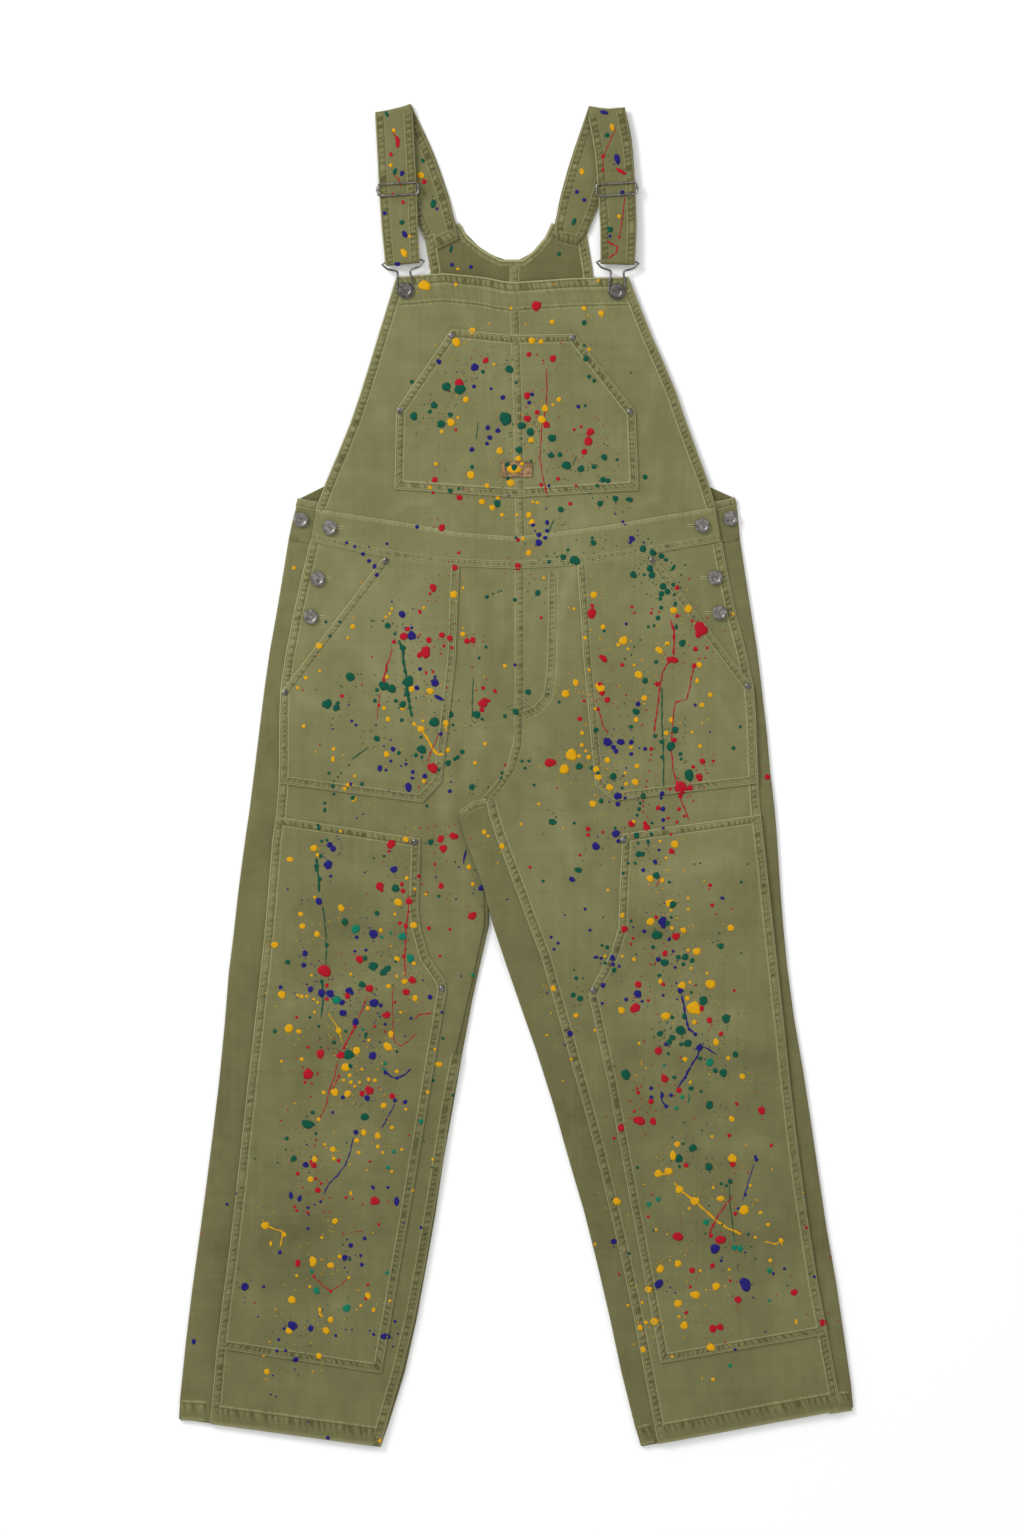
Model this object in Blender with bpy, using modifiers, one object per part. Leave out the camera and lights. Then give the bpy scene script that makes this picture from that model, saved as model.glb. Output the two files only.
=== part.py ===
"""Canvas bib overalls, laid flat on their back with the straps folded over to the front.

The origin is under the middle of the garment, +Y points to the straps and +Z up from the surface that it
lies on. Left and right are the viewer's. Tables are in millimetres, and the meshes are made in metres.
"""

import math
from collections import namedtuple

import bmesh
import bpy
import numpy as np
from mathutils import Vector

MM = 0.001

# Cloth and how its layers lie
WALL = 1.3
GAP = 0.3
FRONT_TOP = 5.2
WRAP_TOP = FRONT_TOP - WALL - GAP
FOLD_RADIUS = WRAP_TOP / 2
TUCK = 10.0
WAISTBAND_WALL = 2.2
OVERLAY_TOP = FRONT_TOP + GAP + WALL
PANEL_COLUMNS = 10
FLOOR_COLUMNS = 4
SPREAD_COLUMNS = 2

# The right leg's crotch rides up over the left leg
CROTCH_LIFT = FRONT_TOP + GAP
CROTCH_FRONT_EXTRA = 0.1
LIFT_FULL_X, LIFT_NONE_X = -22.0, 45.0
LIFT_START_Y, LIFT_FULL_Y = 30.0, -30.8
LIFT_HOLD_Y, LIFT_END_Y = -165.0, -260.0

# Edges of each leg across the garment: on torso rows the last three columns are the centre seam
LegRow = namedtuple("LegRow", "y outer outseam inseam inner middle")
LEFT_LEG = (
    LegRow(257.4, -250.3, -225.5, 0.0, 0.0, 0.0),
    LegRow(192.5, -260.7, -240.9, 0.0, 0.0, 0.0),
    LegRow(137.5, -270.6, -251.9, 0.0, 0.0, 0.0),
    LegRow(88.0, -277.6, -259.3, 0.0, 0.0, 0.0),
    LegRow(33.0, -284.2, -259.6, -2.2, -2.2, -2.2),
    LegRow(8.8, -287.1, -259.6, -7.7, -7.7, -7.7),
    LegRow(-16.5, -290.3, -260.6, -22.0, -22.0, -22.0),
    LegRow(-30.8, -291.9, -261.0, -38.0, -33.3, -48.0),
    LegRow(-69.3, -297.6, -267.0, -35.0, -30.0, -45.0),
    LegRow(-126.5, -305.4, -271.5, -34.7, -29.7, -45.0),
    LegRow(-165.0, -309.1, -274.6, -34.7, -29.7, -46.0),
    LegRow(-203.5, -314.8, -278.7, -43.3, -38.3, -54.0),
    LegRow(-269.5, -319.9, -286.0, -58.0, -53.0, -70.0),
    LegRow(-335.5, -326.3, -293.7, -73.7, -63.8, -84.0),
    LegRow(-412.5, -335.5, -302.0, -85.5, -78.1, -96.0),
    LegRow(-489.5, -345.6, -310.2, -98.3, -89.5, -110.0),
    LegRow(-566.5, -356.2, -320.3, -111.8, -103.4, -122.0),
    LegRow(-632.5, -364.1, -328.6, -125.4, -115.5, -136.0),
    LegRow(-687.5, -369.6, -333.3, -141.9, -130.9, -152.0),
    LegRow(-738.1, -372.0, -338.0, -156.0, -148.5, -165.0),
)
RIGHT_LEG = (
    LegRow(257.4, 246.4, 225.5, 0.0, 0.0, 0.0),
    LegRow(192.5, 256.3, 237.6, 0.0, 0.0, 0.0),
    LegRow(137.5, 265.1, 251.9, 0.0, 0.0, 0.0),
    LegRow(88.0, 271.0, 262.4, 0.0, 0.0, 0.0),
    LegRow(33.0, 277.2, 264.0, -2.2, -2.2, -2.2),
    LegRow(8.8, 278.9, 265.1, -7.7, -7.7, -7.7),
    LegRow(-16.5, 282.0, 266.2, -22.0, -22.0, -22.0),
    LegRow(-30.8, 283.8, 267.3, -33.0, -47.3, -30.0),
    LegRow(-45.1, 285.2, 268.4, -28.6, -62.7, -28.0),
    LegRow(-69.3, 287.1, 271.3, -20.9, -56.1, -24.0),
    LegRow(-97.9, 288.9, 274.5, -9.9, -45.1, -14.0),
    LegRow(-126.5, 290.7, 277.6, 0.8, -34.9, -6.0),
    LegRow(-165.0, 293.7, 281.8, 14.9, -25.3, 4.0),
    LegRow(-203.5, 297.2, 286.0, 29.7, -12.5, 14.0),
    LegRow(-269.5, 306.0, 293.3, 48.0, 10.3, 36.0),
    LegRow(-335.5, 317.5, 300.3, 67.1, 33.7, 58.0),
    LegRow(-412.5, 328.9, 309.1, 88.0, 55.0, 78.0),
    LegRow(-489.5, 339.9, 320.1, 106.3, 77.7, 100.0),
    LegRow(-566.5, 353.5, 332.2, 124.3, 96.4, 118.0),
    LegRow(-632.5, 363.0, 345.4, 137.1, 111.1, 132.0),
    LegRow(-687.5, 370.7, 355.3, 147.4, 122.1, 144.0),
    LegRow(-738.1, 371.0, 359.7, 157.3, 137.5, 160.0),
)

# Ribs cross a leg from the outer fold down to its inner end, whose heights these are
DIP_SHARES = (0.7, 0.4, 0.15)
WAIST_RIBS = (227.2, 192.5, 148.5, 104.5, 66.0, 33.0, 8.8, -16.5)
CROTCH_RIBS = (-30.8, -45.1, -69.3, -97.9, -126.5, -165.0, -203.5)
KNEE_TOP, CUFF_TOP, HEM = -247.5, -715.0, -738.1
LEG_RIB_STEP = 58.0
RIB_DROP = 30.2
RIGHT_HEM_EXTRA_DROP = 12.7

# Waist seam and waistband, from the left end to the right
SeamPoint = namedtuple("SeamPoint", "x y")
WAIST_SEAM = (
    SeamPoint(-225.5, 257.4),
    SeamPoint(-146.3, 239.8),
    SeamPoint(-64.9, 229.9),
    SeamPoint(0.0, 227.2),
    SeamPoint(66.0, 231.0),
    SeamPoint(150.7, 244.2),
    SeamPoint(225.5, 257.4),
)
BIB_SEAM = (
    SeamPoint(-220.0, 290.4),
    SeamPoint(-117.7, 275.0),
    SeamPoint(-66.0, 265.1),
    SeamPoint(0.0, 259.9),
    SeamPoint(95.7, 271.7),
    SeamPoint(159.5, 282.7),
    SeamPoint(220.0, 292.6),
)
BIB_TOP = (
    SeamPoint(-130.9, 546.7),
    SeamPoint(-79.2, 551.1),
    SeamPoint(-34.1, 546.7),
    SeamPoint(-7.7, 540.7),
    SeamPoint(62.7, 545.6),
    SeamPoint(123.2, 546.7),
)
SidePoint = namedtuple("SidePoint", "y left right")
BIB_SIDES = (
    SidePoint(546.7, -130.9, 123.2),
    SidePoint(490.0, -148.5, 145.2),
    SidePoint(427.9, -167.2, 172.7),
    SidePoint(379.5, -183.7, 189.2),
    SidePoint(314.6, -211.2, 213.4),
    SidePoint(291.5, -220.0, 220.0),
)
BIB_ROWS = 8

# Back above the waist, mostly under the bib
BACK_TOP = (
    SeamPoint(-100.1, 592.9),
    SeamPoint(-63.8, 609.4),
    SeamPoint(-52.8, 590.7),
    SeamPoint(-35.2, 576.4),
    SeamPoint(-16.5, 566.5),
    SeamPoint(6.6, 566.5),
    SeamPoint(18.7, 575.3),
    SeamPoint(31.9, 590.7),
    SeamPoint(40.7, 608.3),
    SeamPoint(77.0, 596.2),
)
BACK_SIDES = (
    SidePoint(594.5, -100.1, 77.0),
    SidePoint(557.7, -93.5, 83.6),
    SidePoint(489.5, -100.1, 90.2),
    SidePoint(390.5, -127.6, 119.9),
    SidePoint(330.0, -171.6, 167.2),
    SidePoint(304.7, -236.5, 239.8),
)
BACK_ROWS, BACK_COLUMNS = 8, 12
BACK_WAIST_DIP = 30.2

# Back waistband: its folds at the sides, and where the front's edge lies on it
BandRow = namedtuple("BandRow", "y left_outer left_seam right_outer right_seam")
BACK_BAND = (
    BandRow(304.4, -238.7, -213.4, 240.9, 213.4),
    BandRow(290.0, -243.0, -219.0, 243.5, 219.0),
    BandRow(274.0, -247.0, -222.5, 245.0, 222.5),
    BandRow(257.7, -250.3, -225.5, 246.4, 225.5),
)

# Soft folds that stand up from the front: a line from one end to the other, its half width and height
Fold = namedtuple("Fold", "x0 y0 x1 y1 half_width height")
FOLDS = (
    Fold(-88.0, 30.0, -92.0, -8.0, 14.0, 1.5),
    Fold(62.0, 224.0, 40.0, 100.0, 18.0, 1.4),
    Fold(-215.0, -110.0, -130.0, -95.0, 20.0, 1.5),
    Fold(150.0, -130.0, 240.0, -100.0, 20.0, 1.5),
    Fold(-230.0, -255.0, -130.0, -215.0, 22.0, 1.8),
    Fold(140.0, -225.0, 240.0, -262.0, 22.0, 1.8),
    Fold(-280.0, -455.0, -190.0, -425.0, 22.0, 1.3),
    Fold(180.0, -440.0, 270.0, -475.0, 22.0, 1.3),
    Fold(-120.0, 292.0, -60.0, 300.0, 14.0, 1.2),
    Fold(-95.0, 520.0, 60.0, 512.0, 16.0, 1.0),
)

# What is sewn on: outlines reach past a panel's edge where the piece ends with the panel
OutlinePoint = namedtuple("OutlinePoint", "x y")
BIB_POCKET = (
    OutlinePoint(-70.4, 489.5),
    OutlinePoint(-4.4, 482.9),
    OutlinePoint(64.9, 484.0),
    OutlinePoint(130.9, 399.3),
    OutlinePoint(134.2, 313.5),
    OutlinePoint(0.0, 305.8),
    OutlinePoint(-133.1, 314.6),
    OutlinePoint(-130.9, 401.5),
)
HAND_POCKET_LEFT = (
    OutlinePoint(-145.2, 260.0),
    OutlinePoint(-145.2, 238.7),
    OutlinePoint(-285.2, 54.9),
    OutlinePoint(-285.2, -5.4),
    OutlinePoint(-103.4, -29.7),
    OutlinePoint(-82.5, -7.7),
    OutlinePoint(-67.1, 126.5),
    OutlinePoint(-61.6, 260.0),
)
HAND_POCKET_RIGHT = (
    OutlinePoint(151.8, 260.0),
    OutlinePoint(151.8, 239.8),
    OutlinePoint(285.2, 62.9),
    OutlinePoint(285.2, -6.3),
    OutlinePoint(107.8, -27.5),
    OutlinePoint(87.5, -11.0),
    OutlinePoint(74.8, 126.5),
    OutlinePoint(66.0, 260.0),
)
KNEE_PATCH_LEFT = (
    OutlinePoint(-290.0, -42.2),
    OutlinePoint(-105.6, -70.4),
    OutlinePoint(-107.8, -147.4),
    OutlinePoint(-105.6, -167.2),
    OutlinePoint(-96.8, -199.1),
    OutlinePoint(-78.1, -226.6),
    OutlinePoint(-77.0, -237.6),
    OutlinePoint(-93.5, -335.5),
    OutlinePoint(-122.1, -506.0),
    OutlinePoint(-148.5, -656.7),
    OutlinePoint(-360.0, -624.3),
)
KNEE_PATCH_RIGHT = (
    OutlinePoint(300.0, -39.6),
    OutlinePoint(117.7, -64.9),
    OutlinePoint(114.4, -128.7),
    OutlinePoint(113.3, -167.2),
    OutlinePoint(104.5, -196.9),
    OutlinePoint(86.9, -226.6),
    OutlinePoint(80.3, -242.0),
    OutlinePoint(101.2, -335.5),
    OutlinePoint(130.9, -495.0),
    OutlinePoint(159.5, -645.7),
    OutlinePoint(380.0, -607.0),
)
OUTLINE_HEIGHT = 60.0
PATCH_CENTRE, PATCH_SIZE, PATCH_EXTRA_GAP = (0.6, 336.0), (34.0, 16.5), 0.1

# Straps: the middle of the ribbon, its height and half width, along each of its three runs
StrapPoint = namedtuple("StrapPoint", "x y z half_width")
STRAP_WALL = 2.0
RUN_SAMPLES = 10
TURN_STEPS = 6
LEFT_STRAP = {
    "back": (
        StrapPoint(-74.8, 584.6, 2.6, 13.5),
        StrapPoint(-83.6, 601.7, 2.6, 18.0),
        StrapPoint(-94.6, 633.6, 1.15, 20.5),
        StrapPoint(-110.0, 676.5, 1.15, 20.5),
        StrapPoint(-134.2, 728.9, 1.15, 20.5),
    ),
    "front": (
        StrapPoint(-134.2, 728.9, 6.0, 20.5),
        StrapPoint(-132.0, 687.5, 6.0, 20.5),
        StrapPoint(-129.8, 643.5, 6.5, 20.5),
        StrapPoint(-127.6, 601.7, 7.5, 19.8),
        StrapPoint(-124.3, 564.3, 9.1, 18.7),
    ),
    "return": (
        StrapPoint(-124.3, 564.3, 4.2, 18.7),
        StrapPoint(-127.6, 601.7, 2.8, 18.2),
        StrapPoint(-130.2, 652.0, 2.1, 18.2),
    ),
}
RIGHT_STRAP = {
    "back": (
        StrapPoint(56.1, 588.5, 2.6, 13.5),
        StrapPoint(60.5, 603.9, 2.6, 18.0),
        StrapPoint(69.3, 633.6, 1.15, 20.5),
        StrapPoint(79.2, 668.8, 1.15, 20.5),
        StrapPoint(99.6, 729.0, 1.15, 20.5),
    ),
    "front": (
        StrapPoint(99.6, 729.0, 6.0, 20.5),
        StrapPoint(107.0, 693.0, 6.0, 20.5),
        StrapPoint(110.6, 643.5, 6.5, 20.5),
        StrapPoint(112.5, 601.7, 7.5, 19.8),
        StrapPoint(111.7, 564.3, 9.1, 18.7),
    ),
    "return": (
        StrapPoint(111.7, 564.3, 4.2, 18.7),
        StrapPoint(112.5, 601.7, 2.8, 18.2),
        StrapPoint(110.8, 652.0, 2.1, 18.2),
    ),
}
STRAPS = {"left": LEFT_STRAP, "right": RIGHT_STRAP}

# Strap hardware
SLIDER_POINT = 2
SLIDER_HALF_WIDTH, SLIDER_HALF_HEIGHT = 22.2, 6.4
SLIDER_CORNER_RADIUS, SLIDER_KNOB_DROP = 2.5, 0.6
SLIDER_FRAME_Z, SLIDER_BAR_Z = 9.1, 4.2
SLIDER_WIRE, SLIDER_BAR_WIRE, SLIDER_KNOB = 1.0, 0.9, 2.1
HOOK_Z, HOOK_WIRE = 6.65, 1.15
HOOK_SHANK_ALONG = 31.5
HookPoint = namedtuple("HookPoint", "along half_width")
HOOK_OUTLINE = (
    HookPoint(0.0, 20.2),
    HookPoint(3.6, 20.9),
    HookPoint(7.4, 16.5),
    HookPoint(9.6, 8.6),
    HookPoint(12.5, 6.9),
    HookPoint(18.0, 7.9),
    HookPoint(25.0, 8.5),
    HookPoint(HOOK_SHANK_ALONG, 8.5),
    HookPoint(36.8, 6.2),
    HookPoint(39.4, 2.8),
)
HOOK_SAMPLES = 2

# Buttons and rivets stand on the layer named by its top
Stud = namedtuple("Stud", "name x y base")
BUTTON_RADIUS, BUTTON_SHANK_RADIUS, BUTTON_CAP = 8.25, 3.0, 2.3
BUTTON_DISH_DEPTH, BUTTON_EDGE_DROP = 0.5, 0.2
BIB_BUTTON_SHANK, SIDE_BUTTON_SHANK = 2.7, 1.1
WAISTBAND_TOP = FRONT_TOP + WAISTBAND_WALL - WALL
BIB_BUTTONS = (
    Stud("bib_button_left", -121.3, 532.8, FRONT_TOP),
    Stud("bib_button_right", 110.8, 531.7, FRONT_TOP),
)
SIDE_BUTTONS = (
    Stud("side_button_left_1", -236.0, 280.5, WRAP_TOP),
    Stud("side_button_left_2", -204.6, 271.7, WAISTBAND_TOP),
    Stud("side_button_left_3", -217.8, 215.6, FRONT_TOP),
    Stud("side_button_left_4", -225.5, 173.8, FRONT_TOP),
    Stud("side_button_right_1", 235.5, 282.2, WRAP_TOP),
    Stud("side_button_right_2", 204.6, 273.9, WAISTBAND_TOP),
    Stud("side_button_right_3", 218.9, 216.7, FRONT_TOP),
    Stud("side_button_right_4", 223.9, 178.2, FRONT_TOP),
)
RIVET_RADIUS, RIVET_HEIGHT = 3.7, 1.7
RIVETS = (
    Stud("rivet_bib_1", -70.4, 482.9, OVERLAY_TOP),
    Stud("rivet_bib_2", 62.7, 480.7, OVERLAY_TOP),
    Stud("rivet_bib_3", -127.8, 400.5, OVERLAY_TOP),
    Stud("rivet_bib_4", 125.4, 399.3, OVERLAY_TOP),
    Stud("rivet_hand_left_1", -143.2, 235.2, OVERLAY_TOP),
    Stud("rivet_hand_left_2", -253.8, 90.4, OVERLAY_TOP),
    Stud("rivet_hand_right_1", 149.8, 235.9, OVERLAY_TOP),
    Stud("rivet_hand_right_2", 254.8, 97.8, OVERLAY_TOP),
    Stud("rivet_knee_left_1", -111.1, -73.7, OVERLAY_TOP),
    Stud("rivet_knee_left_2", -81.5, -234.6, OVERLAY_TOP),
    Stud("rivet_knee_right_1", 118.0, -71.5, OVERLAY_TOP),
    Stud("rivet_knee_right_2", 85.0, -236.6, OVERLAY_TOP),
)
BUTTON_STEPS, RIVET_STEPS = 14, 10


def clear_scene():
    for obj in list(bpy.data.objects):
        bpy.data.objects.remove(obj, do_unlink=True)


def make_collection(name):
    collection = bpy.data.collections.new(name)
    bpy.context.scene.collection.children.link(collection)
    return collection


def make_material(name, colour, roughness, metallic=0.0):
    material = bpy.data.materials.new(name)
    material.use_nodes = True
    shader = material.node_tree.nodes["Principled BSDF"]
    shader.inputs["Base Color"].default_value = (*colour, 1.0)
    shader.inputs["Roughness"].default_value = roughness
    shader.inputs["Metallic"].default_value = metallic
    material.diffuse_color = (*colour, 1.0)
    return material


def smooth_step(value, start, end):
    share = min(max((value - start) / (end - start), 0.0), 1.0)
    return share * share * (3.0 - 2.0 * share)


def no_lift(_x, _y):
    return 0.0


def crotch_lift(x, y):
    """Height that the right leg's crotch is raised by, where it lies on the left leg."""
    across = 1.0 - smooth_step(x, LIFT_FULL_X, LIFT_NONE_X)
    along = 1.0 - smooth_step(y, LIFT_FULL_Y, LIFT_START_Y)
    fade = smooth_step(y, LIFT_END_Y, LIFT_HOLD_Y)
    return CROTCH_LIFT * across * along * fade


def drape(x, y):
    """Height of the soft folds over a point of the front."""
    height = 0.0
    for fold in FOLDS:
        start = Vector((fold.x0, fold.y0))
        line = Vector((fold.x1, fold.y1)) - start
        share = (Vector((x, y)) - start).dot(line) / line.length_squared
        nearest = start + line * min(max(share, 0.0), 1.0)
        distance = (Vector((x, y)) - nearest).length / fold.half_width
        height += fold.height * math.exp(-distance * distance)
    return height


def read_column(table, column, y):
    """Value of one column of a table with falling y, at height y."""
    rows = sorted(table, key=lambda row: row.y)
    return float(np.interp(y, [row.y for row in rows], [getattr(row, column) for row in rows]))


def read_line(points, x):
    return float(np.interp(x, [point.x for point in points], [point.y for point in points]))


class Rib:
    """A straight section line across one leg, with the places where the leg's edges cross it."""

    def __init__(self, leg, inner_y, drop):
        self.leg = leg
        outer_y = inner_y + drop
        self.outer = Vector((read_column(leg, "outer", outer_y), outer_y))
        self.inner = Vector((read_column(leg, "inner", inner_y), inner_y))
        self.inward = (self.inner - self.outer).normalized()
        self.outseam = self.crossing("outseam")
        self.inseam = self.crossing("inseam")
        self.middle = self.crossing("middle")

    def crossing(self, column):
        """Where the rib meets an edge, found by three steps from the inner end."""
        y = self.inner.y
        for _ in range(3):
            x = read_column(self.leg, column, y)
            y = self.outer.y + (x - self.outer.x) * self.inward.y / self.inward.x
        return Vector((x, y))


def rib_heights():
    """Inner heights of all ribs, and how many of them are above the crotch."""
    steps = round((KNEE_TOP - CUFF_TOP) / LEG_RIB_STEP)
    lower = [KNEE_TOP + (CUFF_TOP - KNEE_TOP) * i / steps for i in range(steps + 1)]
    return [*WAIST_RIBS, *CROTCH_RIBS, *lower, HEM], len(WAIST_RIBS)


def leg_ribs(leg, extra_drop):
    heights, _ = rib_heights()
    top, bottom = heights[0], heights[-1]
    return [Rib(leg, y, RIB_DROP + extra_drop * (top - y) / (top - bottom)) for y in heights]


def fold_run(edge, seam, inward, lift):
    """Points of a panel from under the front's edge, over the top, round the fold and onto the floor."""
    to_seam = (seam - edge).dot(inward)
    flat = [
        (to_seam + TUCK, WRAP_TOP),
        (to_seam, WRAP_TOP),
        ((to_seam + FOLD_RADIUS) / 2, WRAP_TOP),
    ]
    turn = []
    for i in range(5):
        angle = math.radians(90 - 45 * i)
        turn.append((FOLD_RADIUS * (1 - math.cos(angle)), FOLD_RADIUS * (1 + math.sin(angle))))
    points = []
    for along, z in flat + turn:
        place = edge + inward * along
        points.append(Vector((place.x, place.y, z + lift(place.x, place.y))))
    return points


def spread(start, end, count, lift):
    """Points on the floor between two places, without either of them."""
    points = []
    for i in range(1, count + 1):
        place = start.lerp(end, i / (count + 1))
        points.append(Vector((place.x, place.y, lift(place.x, place.y))))
    return points


def back_panel_rows(leg, extra_drop, side, lift):
    """Sections of a back leg panel: it wraps both folds of the leg, and stops at the centre seam above."""
    _, torso = rib_heights()
    rows = []
    for i, rib in enumerate(leg_ribs(leg, extra_drop)):
        outer_run = fold_run(rib.outer, rib.outseam, rib.inward, lift)
        middle = rib.middle + Vector((side * GAP / 2, 0.0))
        floor = spread(outer_run[-1].xy, middle, FLOOR_COLUMNS, lift)
        row = [*outer_run, *floor, Vector((middle.x, middle.y, lift(middle.x, middle.y)))]
        if i >= torso:
            inner_run = fold_run(rib.inner, rib.inseam, -rib.inward, lift)
            row += spread(middle, inner_run[-1].xy, SPREAD_COLUMNS, lift) + inner_run[::-1]
        rows.append(row)
    width = max(len(row) for row in rows)
    return [row + [None] * (width - len(row)) for row in rows]


def front_panel_rows(leg, extra_drop, side, lift):
    """Sections of a front leg panel, from the outseam to the centre seam or the inseam."""
    _, torso = rib_heights()
    rows = []
    for i, rib in enumerate(leg_ribs(leg, extra_drop)):
        end = rib.inseam.copy()
        if i < torso:
            end.x += side * GAP / 2
        row = []
        for k in range(PANEL_COLUMNS + 1):
            place = rib.outseam.lerp(end, k / PANEL_COLUMNS)
            if i == 0:
                place.x = side * (abs(WAIST_SEAM[0].x) * (1 - k / PANEL_COLUMNS))
                place.x += side * GAP / 2 * k / PANEL_COLUMNS
                place.y = read_line(WAIST_SEAM, place.x) - GAP
            height = FRONT_TOP + drape(place.x, place.y)
            raised = lift(place.x, place.y) * (1 + CROTCH_FRONT_EXTRA)
            row.append(Vector((place.x, place.y, height + raised)))
        rows.append(row)
    return bow_upper_rows(rows)


def bow_upper_rows(rows):
    """Lets the rows below the waist seam follow its dip, less and less down to the hips."""
    straight = [rows[0][0].lerp(rows[0][-1], k / PANEL_COLUMNS) for k in range(PANEL_COLUMNS + 1)]
    dips = [point.y - line.y for point, line in zip(rows[0], straight)]
    for i, share in enumerate(DIP_SHARES, start=1):
        for k, point in enumerate(rows[i]):
            point.y += dips[k] * share
    return rows


def patch_rows(top, bottom, sides, rows, columns, z):
    """A sheet between a top and a bottom line and two side lines, as a Coons patch."""
    grid = []
    for j in range(rows + 1):
        down = j / rows
        left_y = top[0].y + (bottom[0].y - top[0].y) * down
        right_y = top[-1].y + (bottom[-1].y - top[-1].y) * down
        left = Vector((read_column(sides, "left", left_y), left_y))
        right = Vector((read_column(sides, "right", right_y), right_y))
        row = []
        for k in range(columns + 1):
            across = k / columns
            place = left.lerp(right, across)
            for line, share in ((top, 1 - down), (bottom, down)):
                x = line[0].x + (line[-1].x - line[0].x) * across
                chord = line[0].y + (line[-1].y - line[0].y) * across
                place.y += (read_line(line, x) - chord) * share
            row.append(Vector((place.x, place.y, z(place.x, place.y))))
        grid.append(row)
    return grid


def grid_object(name, rows, collection):
    """An open surface through rows of points, where None leaves a hole."""
    bm = bmesh.new()
    verts = [[p and bm.verts.new(p * MM) for p in row] for row in rows]
    for upper, lower in zip(verts, verts[1:]):
        for corners in zip(upper, upper[1:], lower[1:], lower):
            if all(corners):
                bm.faces.new(corners)
    return bmesh_object(name, bm, collection)


def bmesh_object(name, bm, collection):
    mesh = bpy.data.meshes.new(name)
    bm.to_mesh(mesh)
    bm.free()
    obj = bpy.data.objects.new(name, mesh)
    collection.objects.link(obj)
    return obj


def face_outward(obj, outward, face_index=0):
    """Turns all faces of a surface, unless the chosen one already looks the given way."""
    if obj.data.polygons[face_index].normal.dot(Vector(outward)) < 0:
        obj.data.flip_normals()
        obj.data.update()


def add_wall(obj, thickness, offset):
    modifier = obj.modifiers.new("Wall", "SOLIDIFY")
    modifier.thickness = thickness * MM
    modifier.offset = offset
    modifier.use_even_offset = True


def finish(obj, material):
    obj.data.materials.clear()
    obj.data.materials.append(material)
    if obj.type == "MESH":
        obj.data.shade_smooth()
        obj.data.set_sharp_from_angle(angle=math.radians(40))
    return obj


def panel(name, rows, material, collection, outward=(0, 0, 1), wall=WALL):
    obj = grid_object(name, rows, collection)
    face_outward(obj, outward)
    add_wall(obj, wall, -1.0)
    return finish(obj, material)


def mesh_copy(source, name, collection):
    """The evaluated shape of a curve or of an object with modifiers, as a mesh object."""
    graph = bpy.context.evaluated_depsgraph_get()
    mesh = bpy.data.meshes.new_from_object(source.evaluated_get(graph))
    bm = bmesh.new()
    bm.from_mesh(mesh)
    bmesh.ops.remove_doubles(bm, verts=bm.verts, dist=1e-6)
    bmesh.ops.recalc_face_normals(bm, faces=bm.faces)
    bm.to_mesh(mesh)
    bm.free()
    obj = bpy.data.objects.new(name, mesh)
    obj.matrix_world = source.matrix_world
    collection.objects.link(obj)
    return obj


def outline_prism(name, outline, helpers):
    """A tall prism over a flat outline, to cut a sewn-on piece with."""
    curve = bpy.data.curves.new(name + "_outline", "CURVE")
    curve.dimensions = "2D"
    curve.fill_mode = "BOTH"
    curve.extrude = OUTLINE_HEIGHT / 2 * MM
    spline = curve.splines.new("POLY")
    spline.points.add(len(outline) - 1)
    for point, place in zip(spline.points, outline):
        point.co = (place.x * MM, place.y * MM, 0.0, 1.0)
    spline.use_cyclic_u = True
    source = bpy.data.objects.new(name + "_outline", curve)
    helpers.objects.link(source)
    bpy.context.view_layer.update()
    prism = mesh_copy(source, name + "_cutter", helpers)
    bpy.data.objects.remove(source, do_unlink=True)
    prism.hide_render = True
    prism.display_type = "WIRE"
    return prism


def sewn_on(name, carrier_rows, outline, material, collection, helpers):
    """A piece of cloth that lies on a panel: the panel's own points moved up, cut to an outline."""
    rows = [[p + Vector((0, 0, GAP)) for p in row] for row in carrier_rows]
    obj = grid_object(name, rows, collection)
    face_outward(obj, (0, 0, 1))
    add_wall(obj, WALL, 1.0)
    cut = obj.modifiers.new("Outline", "BOOLEAN")
    cut.operation = "INTERSECT"
    cut.object = outline_prism(name, outline, helpers)
    return finish(obj, material)


def smooth_points(points, samples, closed=False):
    """Points on a Catmull-Rom curve through the given ones."""
    count = len(points)
    spans = count if closed else count - 1
    result = []
    for i in range(spans):
        if closed:
            a, b, c, d = (points[(i + k) % count] for k in (-1, 0, 1, 2))
        else:
            b, c = points[i], points[i + 1]
            a = points[i - 1] if i else b * 2 - c
            d = points[i + 2] if i + 2 < count else c * 2 - b
        for step in range(samples):
            t = step / samples
            blend = b * 2 + (c - a) * t + (a * 2 - b * 5 + c * 4 - d) * t**2
            result.append((blend + (b * 3 - a - c * 3 + d) * t**3) / 2)
    if not closed:
        result.append(points[-1].copy())
    return result


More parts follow.
